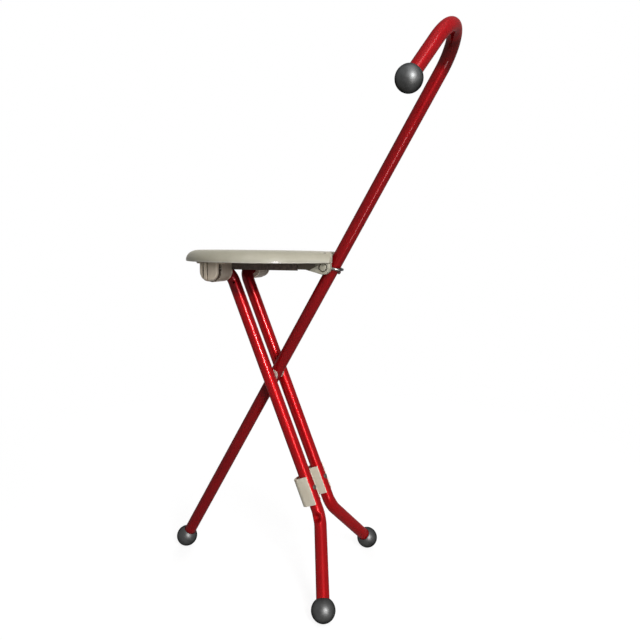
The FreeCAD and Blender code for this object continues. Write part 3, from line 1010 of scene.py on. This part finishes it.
@dataclass(frozen=True)
class BallEnd:
    """A ball with a socket for the end of a tube."""

    centre: Vector
    tube_way: Vector
    stands: bool
    mouth: float = 10.0
    bore: float = 9.1
    socket_play: float = 0.1
    edge: float = 0.5
    edge_angle: float = 35.0
    faces_round: int = 96
    faces_high: int = 64

    def draw(self) -> Mesh:
        """Draw the ball with its mouth turned to the tube, and its flat where it stands.

        Returns:
            The closed mesh.
        """
        radius = PLANE.ball_radius
        bm = bmesh.new()
        bmesh.ops.create_uvsphere(bm, u_segments=self.faces_round, v_segments=self.faces_high,
                                  radius=radius)
        mouth_height = math.sqrt(radius ** 2 - self.mouth ** 2)
        slice_off(bm, UP * mouth_height, UP)
        rim = self.step_in(bm, open_edges(bm), self.bore / self.mouth, 0.0)
        floor = self.step_in(bm, rim, 1.0, PLANE.socket_floor - self.socket_play - mouth_height)
        bmesh.ops.contextual_create(bm, geom=floor)
        bmesh.ops.recalc_face_normals(bm, faces=bm.faces)
        soften(bm, self.edge, angle=self.edge_angle, segments=3)
        moved(bm, look_along(self.tube_way, self.centre))
        if self.stands:
            slice_off(bm, ORIGIN, -UP)
        close_up(bm)
        return bm

    def step_in(self, bm: Mesh, ring: list[Edge], share: float, rise: float) -> list[Edge]:
        """Extrude the mouth's ring one step.

        Args:
            bm: the mesh to change.
            ring: the ring's edges.
            share: the new radius as a share of the old one.
            rise: the step along the mouth's axis.

        Returns:
            The new ring.
        """
        verts, ring = extrude_ring(bm, ring)
        bmesh.ops.scale(bm, vec=(share, share, 1.0), verts=verts)
        bmesh.ops.translate(bm, vec=UP * rise, verts=verts)
        return ring


@dataclass(frozen=True)
class Stick:
    """The walking stick: bent tube, two balls and the rivet that stops the wire."""

    crook_start: float = 471.6
    crook_radius: float = 42.4
    crook_turn: float = 160.0
    crook_limb: float = 56.0
    stop_radius: float = 2.6
    stop_height: float = 3.8
    stop_dome: float = 1.6
    stop_sunk: float = 1.2

    def line(self) -> list[Vector]:
        """Find the corners of the stick's line.

        Returns:
            The foot's centre, the crook's two corners and the handle ball's centre.
        """
        foot = PLANE.pivot - PLANE.stick_up * (
            (PLANE.pivot.z - PLANE.ball_height) / PLANE.stick_up.z)
        half = math.radians(self.crook_turn / 2)
        setback = self.crook_radius * math.tan(half / 2)
        first = PLANE.pivot + PLANE.stick_up * (self.crook_start + setback)
        over = PLANE.stick_up * math.cos(half) - ACROSS * math.sin(half)
        down = PLANE.stick_up * math.cos(2 * half) - ACROSS * math.sin(2 * half)
        second = first + over * (2 * setback)
        return [foot, first, second, second + down * (setback + self.crook_limb)]

    def build(self, shop: Workshop) -> None:
        """Build the stick's pieces.

        Args:
            shop: the workshop that takes them.
        """
        foot, first, second, ball = self.line()
        limb = (ball - second).normalized()
        ends = [foot + PLANE.stick_up * PLANE.socket_floor, first, second,
                ball - limb * PLANE.socket_floor]
        tube = bent_bar(ends, [self.crook_radius, self.crook_radius], PLANE.tube_radius)
        shop.deliver(tube, "stick_bent_tube", STICK_PAINT, Body.STICK, "stick_tube")
        shop.deliver(BallEnd(ball, -limb, stands=False).draw(), "crook_ball", BALL_METAL,
                     Body.STICK, "handle_ball")
        shop.deliver(BallEnd(foot, PLANE.stick_up, stands=True).draw(), "stick_ball_foot",
                     FOOT_METAL, Body.STICK, "stick_foot")
        shop.deliver(self.stop_rivet(), "wire_stop_rivet", PAINTED_RIVET, Body.STICK, "bail_stop")

    def stop_rivet(self) -> Mesh:
        """Draw the domed rivet that the wire rests on, let into the tube's wall.

        Returns:
            The closed mesh.
        """
        dome = quarter(UP * (self.stop_height - self.stop_dome), ALONG * self.stop_radius,
                       UP * self.stop_dome, steps=8)
        section = [flat(0.0, -self.stop_sunk), flat(self.stop_radius, -self.stop_sunk), *dome]
        low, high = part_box("bail_stop")
        along = ((low + high) / (2 * MM) - PLANE.pivot).dot(PLANE.stick_up)
        spot = PLANE.pivot + PLANE.stick_up * along + PLANE.stick_back * PLANE.tube_radius
        return moved(turned(section, steps=40), look_along(PLANE.stick_back, spot))


@dataclass(frozen=True)
class Leg:
    """One leg: bent tube with its bend crease and vent, ball foot, clip and the clip's rivet."""

    side: Side
    offset: float = 22.6
    axle_end: float = 79.7
    elbow_radius: float = 18.0
    knee_below_pivot: float = 217.0
    knee_radius: float = 34.0
    foot_reach: float = 118.8
    foot_spread: float = 210.0
    crease_depth: float = 5.0
    crease_length: float = 5.0
    crease_width: float = 4.6
    crease_limit: float = 27.0
    ridge_height: float = 1.1
    ridge_place: float = 1.7
    ridge_sharpness: float = 6.0
    vent_radius: float = 1.7
    vent_offset: float = 3.2
    vent_above_pivot: float = 146.0
    vent_floor: float = 3.6
    vent_cut_end: float = 18.0
    clip_below_pivot: float = 174.0
    clip_length: float = 42.0
    clip_wall: float = 1.7
    clip_half_width: float = 10.8
    clip_back: float = 17.5
    clip_front: float = 6.2
    clip_corner: float = 9.0
    clip_edge: float = 0.75
    rivet_radius: float = 4.6
    rivet_height: float = 1.0
    rivet_sunk: float = 1.6
    rivet_above_centre: float = 1.5

    @property
    def knee(self) -> Vector:
        """Return the corner of the lower bend."""
        return self.below_pivot(self.knee_below_pivot)

    @property
    def foot(self) -> Vector:
        """Return the centre of the ball foot."""
        return Vector((PLANE.pivot.x + self.foot_reach, self.side.value * self.foot_spread / 2,
                       PLANE.ball_height))

    def below_pivot(self, distance: float) -> Vector:
        """Return the point of the leg's line at a distance below the pivot."""
        return PLANE.pivot - PLANE.leg_up * distance + self.side.out(self.offset)

    def build(self, shop: Workshop) -> None:
        """Build the leg's pieces.

        Args:
            shop: the workshop that takes them.
        """
        word = self.side.word
        shop.deliver(self.tube(), word + "_leg_bent_tube", LEG_PAINT, Body.LEGS, word + "_leg_tube")
        ball = BallEnd(self.foot, self.knee - self.foot, stands=True).draw()
        shop.deliver(ball, word + "_ball_foot", FOOT_METAL, Body.LEGS, word + "_foot")
        shop.deliver(self.clip(), word + "_clip_sleeve", CLIP_PLASTIC, Body.LEGS, word + "_clip")
        shop.deliver(self.rivet(), word + "_clip_rivet_head", DARK_STEEL, Body.LEGS,
                     word + "_clip_rivet")

    def tube(self) -> Mesh:
        """Draw the leg's tube from the stub axle to the foot's socket, with its vent.

        Returns:
            The closed mesh.
        """
        axle = PLANE.hinge + self.side.out(self.axle_end)
        elbow = PLANE.hinge + self.side.out(self.offset)
        upward = (self.knee - self.foot).normalized()
        line = [axle, elbow, self.knee, self.foot + upward * PLANE.socket_floor]
        bm = bent_bar(line, [self.elbow_radius, self.knee_radius], PLANE.tube_radius,
                      pitch=10.0, bend_step=2.0)
        self.press_crease(bm)
        vent = self.below_pivot(-self.vent_above_pivot) + PLANE.leg_back * self.vent_offset
        cutter = bar(vent + self.side.out(self.vent_floor), vent + self.side.out(self.vent_cut_end),
                     self.vent_radius, sides=24)
        return combine(bm, cutter, Join.CUT)

    def press_crease(self, bm: Mesh) -> None:
        """Press the crease that bending left on the inside of the knee, with a ridge round it.

        Args:
            bm: the tube, which is changed.
        """
        arriving = -PLANE.leg_up
        leaving = (self.foot - self.knee).normalized()
        inward = (leaving - arriving).normalized()
        along = (leaving + arriving).normalized()
        across = inward.cross(along)
        turn = arriving.angle(leaving)
        middle = self.knee + inward * (self.knee_radius / math.cos(turn / 2) - self.knee_radius)
        for vert in bm.verts:
            away = vert.co - middle
            if away.dot(inward) < 0 or away.length > self.crease_limit:
                continue
            stretch = (away.dot(along) / self.crease_length) ** 2
            spread = (away.dot(across) / self.crease_width) ** 2
            beside = math.sqrt(stretch + spread) - self.ridge_place
            ridge = self.ridge_height * math.exp(-self.ridge_sharpness * beside ** 2)
            sink = self.crease_depth * math.exp(-stretch - spread)
            vert.co += inward * (ridge - sink)

    def on_leg(self, bm: Mesh, distance: float) -> Mesh:
        """Place a drawing, with Z along the leg and X square to it, below the pivot."""
        turn = Matrix((PLANE.leg_back, ACROSS, PLANE.leg_up)).transposed().to_4x4()
        return moved(bm, Matrix.Translation(self.below_pivot(distance)) @ turn)

    def clip(self) -> Mesh:
        """Draw the channel-shaped sleeve on the stick's side of the leg.

        Returns:
            The closed mesh.
        """
        bm = bmesh.new()
        half, low = self.clip_half_width, -self.clip_length / 2
        corners = ((self.clip_front, -half), (-self.clip_back, -half),
                   (-self.clip_back, half), (self.clip_front, half))
        line = wire_line(bm, [Vector((x, y, low)) for x, y in corners], closed=False)
        round_off(bm, line[1:3], self.clip_corner, segments=12, kind=Rounding.CORNERS)
        run_straight(bm, bm.edges[:], UP * self.clip_length, self.clip_length / 4)
        bmesh.ops.recalc_face_normals(bm, faces=bm.faces)
        if sum(face.normal.dot(face.calc_center_median()) for face in bm.faces) < 0:
            bmesh.ops.reverse_faces(bm, faces=bm.faces)
        bmesh.ops.solidify(bm, geom=bm.faces[:], thickness=self.clip_wall)
        bmesh.ops.recalc_face_normals(bm, faces=bm.faces)
        soften(bm, self.clip_edge, angle=50.0, segments=4)
        return self.on_leg(bm, self.clip_below_pivot)

    def rivet(self) -> Mesh:
        """Draw the low domed rivet head on the far side of the tube.

        Returns:
            The closed mesh.
        """
        bm = bmesh.new()
        bmesh.ops.create_uvsphere(bm, u_segments=40, v_segments=24, radius=1.0)
        reach = (self.rivet_height + self.rivet_sunk, self.rivet_radius, self.rivet_radius)
        bmesh.ops.scale(bm, vec=reach, verts=bm.verts)
        bmesh.ops.translate(bm, verts=bm.verts, vec=ALONG * (PLANE.tube_radius - self.rivet_sunk))
        return self.on_leg(bm, self.clip_below_pivot - self.rivet_above_centre)


@dataclass(frozen=True)
class SeatShell:
    """The round moulded seat, its rear block and the notch that the stick passes."""

    centre_reach: float = -24.3
    radius: float = 107.7
    plan_steps: int = 150
    edge_run: float = 18.0
    edge_drop: float = 14.0
    edge_steps: int = 18
    lip_edge: float = 0.9
    wall: float = 4.0
    inner_round: float = 9.0
    rear: float = 92.3
    rear_half_width: float = 26.8
    rear_round: tuple[tuple[float, float], ...] = ((0.2, 0.5), (0.3, 0.35), (0.5, 0.25))
    notch_radius: float = 14.0
    cutter_below_lip: float = 10.0
    notch_cutter: float = 40.0

    @property
    def centre(self) -> Vector:
        """Return the middle of the round part, at the floor."""
        return ALONG * (PLANE.pivot.x + self.centre_reach)

    @property
    def rear_face(self) -> float:
        """Return the place of the flat rear face along X."""
        return PLANE.pivot.x + self.rear

    @property
    def cutters_low(self) -> float:
        """Return the height at which the cutters start."""
        return PLANE.seat_lip - self.cutter_below_lip

    def plan(self, bm: Mesh) -> Face:
        """Draw the plan at the lip: a round front, and straight sides that meet behind the seat.

        Args:
            bm: the mesh to add to.

        Returns:
            The plan's face, turned upwards.
        """
        corner = Vector((self.rear_face, self.rear_half_width, 0.0)) - self.centre
        touch = math.atan2(corner.y, corner.x) + math.acos(self.radius / corner.length)
        middle = self.centre + UP * PLANE.seat_lip
        start = middle + Vector((math.cos(touch), math.sin(touch), 0.0)) * self.radius
        first = bmesh.ops.create_vert(bm, co=start)["vert"][0]
        spun = bmesh.ops.spin(bm, geom=[first], cent=middle, axis=UP, angle=math.tau - 2 * touch,
                              steps=self.plan_steps)
        last = of_kind(spun["geom_last"], Vert)[0]
        behind = middle + ALONG * (self.radius / math.cos(touch))
        tip = bmesh.ops.create_vert(bm, co=behind)["vert"][0]
        for end in (first, last):
            bm.edges.new((end, tip))
        face = bmesh.ops.contextual_create(bm, geom=bm.edges[:])["faces"][0]
        if face.normal.z < 0:
            bmesh.ops.reverse_faces(bm, faces=[face])
        return face

    def raise_edge(self, bm: Mesh, face: Face) -> None:
        """Raise the plan to the seat's height, with the rounded edge all round.

        Args:
            bm: the mesh to change.
            face: the plan's face.
        """
        made = bmesh.ops.extrude_face_region(bm, geom=[face])["geom"]
        top = of_kind(made, Face)[0]
        bmesh.ops.translate(bm, verts=of_kind(made, Vert),
                            vec=UP * (PLANE.seat_top - PLANE.seat_lip - self.edge_drop))
        done = Vector((0.0, 0.0))
        for step in range(1, self.edge_steps + 1):
            angle = math.pi / 2 * step / self.edge_steps
            here = Vector((self.edge_run * (1 - math.cos(angle)), self.edge_drop * math.sin(angle)))
            bmesh.ops.inset_region(bm, faces=[top], use_boundary=True, use_even_offset=True,
                                   thickness=here.x - done.x, depth=here.y - done.y)
            done = here
        close_up(bm)
        low = [edge for edge in sharp_edges(bm, angle=60.0)
               if all(abs(vert.co.z - PLANE.seat_lip) < SAME_PLACE for vert in edge.verts)]
        round_off(bm, low, self.lip_edge, segments=3)

    def end_rear(self, bm: Mesh) -> None:
        """Cut the seat off behind and round the edges of the two rear faces beside the notch.

        Args:
            bm: the mesh to change.
        """
        cut = ALONG * (self.rear_face - sum(rise for _, rise in self.rear_round))
        slice_off(bm, cut, ALONG)
        close_up(bm)
        rear = [face for face in bm.faces if face.normal.x > FACES_STRAIGHT
                and abs(face.calc_center_median().x - cut.x) < SAME_PLACE]
        for inset, rise in self.rear_round:
            bmesh.ops.inset_region(bm, faces=rear, use_boundary=True, use_even_offset=False,
                                   thickness=inset, depth=rise)

    def hollow(self) -> Mesh:
        """Draw the cutter for the hollow under the plate, with its flat end before the rear block.

        Returns:
            The closed mesh.
        """
        inner = self.radius - self.wall
        arch = quarter(flat(inner - self.inner_round, PLANE.plate_under - self.inner_round),
                       ALONG * self.inner_round, UP * self.inner_round, steps=10)
        section = [flat(0.0, self.cutters_low), flat(inner, self.cutters_low), *arch,
                   flat(0.0, PLANE.plate_under)]
        bm = moved(turned(section, steps=144), Matrix.Translation(self.centre))
        slice_off(bm, ALONG * (PLANE.pivot.x + PLANE.lug_front), ALONG)
        close_up(bm)
        return bm

    def build(self, shop: Workshop) -> None:
        """Build the seat. It is cut out first, so that its rear faces are rounded beside the notch.

        Args:
            shop: the workshop that takes it.
        """
        bm = bmesh.new()
        self.raise_edge(bm, self.plan(bm))
        spot = flat(self.rear_face, self.cutters_low)
        notch = bar(spot, spot + UP * self.notch_cutter, self.notch_radius, sides=72)
        bm = combine(bm, notch, Join.CUT)
        bm = combine(bm, self.hollow(), Join.CUT)
        self.end_rear(bm)
        shop.deliver(bm, "round_seat", SEAT_PLASTIC, Body.SEAT, "seat_shell")


@dataclass(frozen=True)
class Hub:
    """A bearing hub under the seat: half-round barrel, groove, ribbed end disc and screw flange."""

    side: Side
    inner_face: float = 42.0
    outer_face: float = 84.0
    radius: float = 15.0
    barrel_edge: float = 0.8
    end_radius: float = 13.6
    end_edge: float = 0.6
    groove_radius: float = 10.3
    groove_start: float = 73.0
    groove_end: float = 77.6
    groove_wall: float = 0.01
    corner_share: float = 0.999
    rib_offset: float = -4.3
    rib_width: float = 4.4
    rib_height: float = 0.9
    rib_root: float = 3.0
    rib_above_low: float = 2.5
    rib_edge: float = 0.7
    slot_width: float = 2.2
    slot_depth: float = 3.4
    slot_cut_out: float = 5.0
    slot_below_plate: float = 4.0
    collar_half_length: float = 20.0
    collar_start: float = 50.0
    collar_end: float = 81.5
    collar_low: float = 466.6
    collar_below_plate: float = 1.0
    collar_edge: float = 1.4
    flange_half_length: float = 26.0
    flange_start: float = 46.0
    flange_end: float = 62.0
    flange_thickness: float = 4.0
    flange_edge: float = 0.6
    bore: float = 9.05
    bore_start: float = 40.0
    bore_end: float = 80.0
    dome: tuple[tuple[float, float], ...] = (
        (1.8, 0.0), (1.1, 0.2), (0.5, 0.6), (0.15, 1.2), (0.0, 2.0))

    def loop(self, bm: Mesh, distance: float, radius: float) -> list[Edge]:
        """Draw the half-round outline at one distance from the fold plane.

        Args:
            bm: the mesh to add to.
            distance: the distance from the fold plane.
            radius: the outline's radius.

        Returns:
            The outline's edges.
        """
        before = set(bm.edges)
        top = PLANE.plate_under - PLANE.hinge.z
        corners = ((-radius, top), (-radius, -radius), (radius, -radius), (radius, top))
        place = PLANE.hinge + self.side.out(distance)
        line = wire_line(bm, [place + flat(x, z) for x, z in corners], closed=True)
        round_off(bm, line[1:3], radius * self.corner_share, segments=20, kind=Rounding.CORNERS)
        return [edge for edge in bm.edges if edge not in before]

    def barrel(self) -> Mesh:
        """Draw the barrel with its groove and its domed end disc.

        Returns:
            The closed mesh.
        """
        stations = [(self.inner_face, self.radius - self.barrel_edge),
                    (self.inner_face + self.barrel_edge, self.radius),
                    (self.groove_start - self.barrel_edge, self.radius),
                    (self.groove_start, self.radius - self.barrel_edge),
                    (self.groove_start + self.groove_wall, self.groove_radius),
                    (self.groove_end, self.groove_radius),
                    (self.groove_end + self.groove_wall, self.end_radius - self.end_edge),
                    (self.groove_end + self.end_edge, self.end_radius)]
        stations += [(self.outer_face - back, self.end_radius - drop) for back, drop in self.dome]
        bm = bmesh.new()
        before = None
        for distance, radius in stations:
            outline = self.loop(bm, distance, radius)
            if before:
                bmesh.ops.bridge_loops(bm, edges=before + outline)
            before = outline
        close_up(bm)
        return bm

    def build(self, shop: Workshop) -> None:
        """Build the hub.

        Args:
            shop: the workshop that takes it.
        """
        bm = combine(self.barrel(), self.rib(), Join.UNITE)
        for beside in (-1, 1):
            bm = combine(bm, self.slot(beside), Join.CUT)
        for added in (self.flange(), self.collar()):
            bm = combine(bm, added, Join.UNITE)
        bore = bar(PLANE.hinge + self.side.out(self.bore_start),
                   PLANE.hinge + self.side.out(self.bore_end), self.bore, sides=64)
        bm = combine(bm, bore, Join.CUT)
        word = self.side.word
        shop.deliver(bm, word + "_bearing_hub", HUB_PLASTIC, Body.SEAT, word + "_hub")

    def block(self, middle: float, half: float, sides: tuple[float, float],
              heights: tuple[float, float]) -> Mesh:
        """Draw a box at the hub.

        Args:
            middle: its middle along X, from the hinge.
            half: half its length along X.
            sides: its two distances from the fold plane.
            heights: its two heights.

        Returns:
            The closed mesh.
        """
        near, far = sorted(self.side.value * side for side in sides)
        return box(Vector((PLANE.hinge.x + (middle - half), near, heights[0])),
                   Vector((PLANE.hinge.x + (middle + half), far, heights[1])))

    def rib(self) -> Mesh:
        """Draw the upright rib on the end disc.

        Returns:
            The closed mesh.
        """
        low = PLANE.hinge.z - self.end_radius + self.rib_above_low
        bm = self.block(self.rib_offset, self.rib_width / 2,
                        (self.outer_face - self.rib_root, self.outer_face + self.rib_height),
                        (low, PLANE.plate_under))
        soften(bm, self.rib_edge, segments=3)
        return bm

    def slot(self, beside: int) -> Mesh:
        """Draw the cutter for the slot on one side of the rib.

        Args:
            beside: -1 or 1, for the side along X.

        Returns:
            The closed mesh.
        """
        middle = self.rib_offset + beside * (self.rib_width + self.slot_width) / 2
        return self.block(middle, self.slot_width / 2,
                          (self.outer_face - self.slot_depth, self.outer_face + self.slot_cut_out),
                          (PLANE.hinge.z - 2 * self.radius, PLANE.plate_under - self.slot_below_plate))

    def flange(self) -> Mesh:
        """Draw the screw flange against the seat's plate.

        Returns:
            The closed mesh.
        """
        bm = self.block(0.0, self.flange_half_length, (self.flange_start, self.flange_end),
                        (PLANE.plate_under - self.flange_thickness, PLANE.plate_under))
        soften(bm, self.flange_edge)
        return bm

    def collar(self) -> Mesh:
        """Draw the shoulder between the barrel and the seat.

        Returns:
            The closed mesh.
        """
        bm = self.block(0.0, self.collar_half_length, (self.collar_start, self.collar_end),
                        (self.collar_low, PLANE.plate_under - self.collar_below_plate))
        soften(bm, self.collar_edge, segments=3)
        return bm


@dataclass(frozen=True)
class Lug:
    """A rear lug of the seat with its recess, and the round cap of the wire's end in it."""

    side: Side
    round_radius: float = 9.8
    round_steps: int = 14
    tail_height: float = 9.6
    tail_reach: float = 56.0
    inner_face: float = 14.0
    outer_face: float = 25.0
    edge: float = 1.5
    recess_radius: float = 6.5
    recess_depth: float = 2.6
    bore: float = 1.95
    cut_beyond: float = 3.0
    web_face: float = 23.4
    web_front: float = 61.6
    web_rear: float = 83.0
    web_cut: float = 20.0
    web_cut_before: float = 2.0
    web_cut_above: float = 1.0
    cap_radius: float = 4.9
    cap_gap: float = 0.3
    cap_proud: float = 0.6
    cap_edge: float = 0.9
    cap_crown: float = 0.3
    cap_half_crown: float = 0.08

    @property
    def low(self) -> float:
        """Return the height of the tail's lower edge."""
        return PLANE.seat_lip - self.tail_height

    def outline(self) -> list[Vector]:
        """Draw the teardrop outline.

        Returns:
            The outline's corners in the fold plane.
        """
        pin = PLANE.lug_pin
        tail = flat(PLANE.pivot.x + self.tail_reach, self.low)
        away = tail - pin
        touch = math.atan2(away.z, away.x) + math.acos(self.round_radius / away.length)
        angles = [touch * (1 - step / self.round_steps) for step in range(self.round_steps + 1)]
        arc = [pin + flat(math.cos(angle), math.sin(angle)) * self.round_radius for angle in angles]
        front = PLANE.pivot.x + PLANE.lug_front
        return [flat(front, PLANE.seat_lip), flat(front, self.low), tail, *arc,
                flat(pin.x + self.round_radius, PLANE.seat_lip)]

    def build(self, shop: Workshop) -> None:
        """Build the lug and the wire's cap.

        Args:
            shop: the workshop that takes them.
        """
        out, pin, word = self.side.out, PLANE.lug_pin, self.side.word
        bm = prism([point + out(self.inner_face) for point in self.outline()],
                   out(self.outer_face - self.inner_face))
        soften(bm, self.edge, angle=30.0, segments=4)
        beyond = pin + out(self.outer_face + self.cut_beyond)
        recess = bar(pin + out(self.outer_face - self.recess_depth), beyond, self.recess_radius,
                     sides=56)
        bore = bar(pin + out(self.inner_face - self.cut_beyond), beyond, self.bore, sides=32)
        for cutter in (recess, bore, self.web_cutter()):
            bm = combine(bm, cutter, Join.CUT)
        shop.deliver(bm, word + "_rear_lug", SEAT_PLASTIC, Body.SEAT, word + "_lug")
        shop.deliver(self.cap(), word + "_wire_cap", SEAT_PLASTIC, Body.BAIL, word + "_bail_cap")

    def web_cutter(self) -> Mesh:
        """Draw the cutter that sets the lug's front back to a thin web, along a slope up to the seat.

        Returns:
            The closed mesh.
        """
        low, high = self.low - self.web_cut_above, PLANE.seat_lip + self.web_cut_above
        before = PLANE.lug_front - self.web_cut_before
        corners = ((before, low), (self.web_front, low), (self.web_rear, high), (before, high))
        face = self.side.out(self.web_face)
        return prism([flat(PLANE.pivot.x + reach, z) + face for reach, z in corners],
                     self.side.out(self.web_cut))

    def cap(self) -> Mesh:
        """Draw the slightly domed cap on the wire's end.

        Returns:
            The closed mesh.
        """
        inner = self.outer_face - self.recess_depth + self.cap_gap
        outer = self.outer_face + self.cap_proud
        rim = quarter(flat(self.cap_radius - self.cap_edge, outer - self.cap_edge - self.cap_crown),
                      ALONG * self.cap_edge, UP * self.cap_edge, steps=5)
        section = [flat(0.0, inner), flat(self.cap_radius, inner), *rim,
                   flat(self.cap_radius / 2, outer - self.cap_half_crown), flat(0.0, outer)]
        return moved(turned(section, steps=56), look_along(self.side.out(1.0), PLANE.lug_pin))


@dataclass(frozen=True)
class WireBail:
    """The wire loop from lug to lug, round behind the stick."""

    radius: float = 1.9
    pin_end: float = 24.7
    half_width: float = 11.5
    bend: float = 11.4
    pin_bend: float = 2.4

    def build(self, shop: Workshop) -> None:
        """Build the wire.

        Args:
            shop: the workshop that takes it.
        """
        pin, rear = PLANE.lug_pin, PLANE.wire_rear
        wide = ACROSS * self.half_width
        end = ACROSS * self.pin_end
        line = [pin - end, pin - wide, rear - wide, rear + wide, pin + wide, pin + end]
        bm = bent_bar(line, [self.pin_bend, self.bend, self.bend, self.pin_bend], self.radius,
                      sides=24, pitch=4.0, bend_step=5.0)
        shop.deliver(bm, "wire_bail", BRIGHT_WIRE, Body.BAIL, "bail")


@dataclass(frozen=True)
class Softbox:
    """A lamp: its place, the point that it faces, its size and its power in watts."""

    name: str
    spot: Triple
    target: Triple
    width: float
    height: float
    power: float
    use: LampUse = LampUse.KEY

    def build(self) -> None:
        """Add the lamp to the scene."""
        data = bpy.data.lights.new(self.name, "AREA")
        data.shape = "RECTANGLE"
        data.size = self.width * MM
        data.size_y = self.height * MM
        data.energy = self.power
        made = bpy.data.objects.new(self.name, data)
        made.location = Vector(self.spot) * MM
        facing = Vector(self.target) - Vector(self.spot)
        made.rotation_euler = facing.to_track_quat("-Z", "Y").to_euler()
        if self.use is LampUse.GLINT:
            made.visible_diffuse = False
        if self.use is LampUse.FILL:
            made.visible_camera = False
            made.visible_glossy = False
        bpy.context.scene.collection.objects.link(made)


@dataclass(frozen=True)
class Studio:
    """Floor, light and camera. The camera stands where the photograph was taken."""

    camera_spot: Triple = (317.85, -777.46, 492.63)
    yaw: float = -20.43
    pitch: float = -7.24
    roll: float = -0.74
    focal_pixels: float = 582.58
    frame_pixels: float = 640.0
    sensor: float = 36.0
    floor_size: float = 12000.0
    floor_grey: float = 0.25
    floor_glow: float = 0.86
    white_from: float = 0.35
    white_at: float = 1.1
    ambient: float = 0.08
    lamps: tuple[Softbox, ...] = (
        Softbox("window_softbox", (1040, -1080, 1000), (0, 0, 400), 500, 1100, 20.0),
        Softbox("overhead_softbox", (600, -500, 1850), (0, 0, 400), 1200, 1200, 7.0),
        Softbox("high_glint", (1040, -1080, 860), (0, 0, 860), 300, 330, 40.0, LampUse.GLINT),
        Softbox("low_glint", (600, -560, 260), (0, 0, 260), 170, 400, 3.9, LampUse.GLINT),
        Softbox("rear_fill", (-565, 1380, 900), (0, 0, 400), 1200, 1000, 13.0, LampUse.FILL))

    def build(self) -> None:
        """Build the floor, the light and the camera."""
        bpy.context.scene.view_settings.view_transform = "Standard"
        self.floor()
        self.world()
        for lamp in self.lamps:
            lamp.build()
        self.camera()

    def floor(self) -> None:
        """Build the pale floor, which takes shadows near the object and is white far off."""
        bm = bmesh.new()
        bmesh.ops.create_grid(bm, x_segments=1, y_segments=1, size=self.floor_size / 2)
        made = to_object(bm, "floor")
        material = bpy.data.materials.new("pale_floor")
        material.use_nodes = True
        sheet = NodeSheet(material.node_tree)
        distance = sheet.length(sheet.add("TexCoord").outputs["Object"])
        far = sheet.spread(distance, self.white_from, self.white_at)
        grey = (self.floor_grey, self.floor_grey, self.floor_grey, 1.0)
        matt = sheet.add("BsdfDiffuse", {"Color": grey}).outputs[0]
        strength = sheet.spread(far, 0.0, 1.0, self.floor_glow, 1.0)
        glow = sheet.add("Emission", {"Color": WHITE, "Strength": strength}).outputs[0]
        near = sheet.add("AddShader", {0: matt, 1: glow}).outputs[0]
        seen = sheet.add("MixShader", {0: far, 1: near, 2: glow}).outputs[0]
        shader = sheet.add("MixShader", {0: self.background_rays(sheet), 1: matt, 2: seen})
        sheet.add("OutputMaterial", {"Surface": shader.outputs[0]})
        made.data.materials.append(material)

    def background_rays(self, sheet: NodeSheet) -> Socket:
        """Mark the rays that show the background: camera, mirror and glass rays.

        Args:
            sheet: the sheet to add to.

        Returns:
            The socket that is 1 for these rays and 0 for others.
        """
        rays = sheet.add("LightPath").outputs
        either = sheet.maths("MAXIMUM", rays["Is Camera Ray"], rays["Is Glossy Ray"])
        return sheet.maths("MAXIMUM", either, rays["Is Transmission Ray"])

    def world(self) -> None:
        """Build the white surround, which lights the object only softly."""
        world = bpy.data.worlds.new("white_surround")
        bpy.context.scene.world = world
        world.use_nodes = True
        sheet = NodeSheet(world.node_tree)
        strength = sheet.spread(self.background_rays(sheet), 0.0, 1.0, self.ambient, 1.0)
        shade = sheet.add("Background", {"Color": WHITE, "Strength": strength})
        sheet.add("OutputWorld", {"Surface": shade.outputs[0]})

    def camera(self) -> None:
        """Add the camera with the photograph's place, turn and angle of view."""
        data = bpy.data.cameras.new("camera")
        data.sensor_width = self.sensor
        data.lens = self.focal_pixels / self.frame_pixels * self.sensor
        made = bpy.data.objects.new("camera", data)
        yaw, pitch, roll = (math.radians(angle) for angle in (self.yaw, self.pitch, self.roll))
        ahead = Vector((math.sin(yaw) * math.cos(pitch), math.cos(yaw) * math.cos(pitch),
                        math.sin(pitch)))
        right = Vector((math.cos(yaw), -math.sin(yaw), 0.0))
        down = ahead.cross(right)
        rolled_right = right * math.cos(roll) + down * math.sin(roll)
        rolled_down = down * math.cos(roll) - right * math.sin(roll)
        turn = Matrix((rolled_right, -rolled_down, -ahead)).transposed().to_4x4()
        made.matrix_world = Matrix.Translation(Vector(self.camera_spot) * MM) @ turn
        bpy.context.scene.collection.objects.link(made)
        bpy.context.scene.camera = made


KEPT_NODES: dict[str, Finish] = {
    "pivot_pin": PLAIN_STEEL,
    "left_spacer": SPACER_PLASTIC,
    "right_spacer": SPACER_PLASTIC,
    "left_rail": RAIL_PAINT,
    "right_rail": RAIL_PAINT,
    "seat_screws": PLAIN_STEEL,
}


def main() -> None:
    """Build the studio and every sub-assembly."""
    logging.basicConfig(level=logging.INFO, format="%(message)s")
    Studio().build()
    shop = Workshop()
    Stick().build(shop)
    for side in Side:
        Leg(side).build(shop)
        Hub(side).build(shop)
        Lug(side).build(shop)
    SeatShell().build(shop)
    WireBail().build(shop)
    for node, finish in KEPT_NODES.items():
        shop.dress(node, finish)


if __name__ == "__main__":
    main()
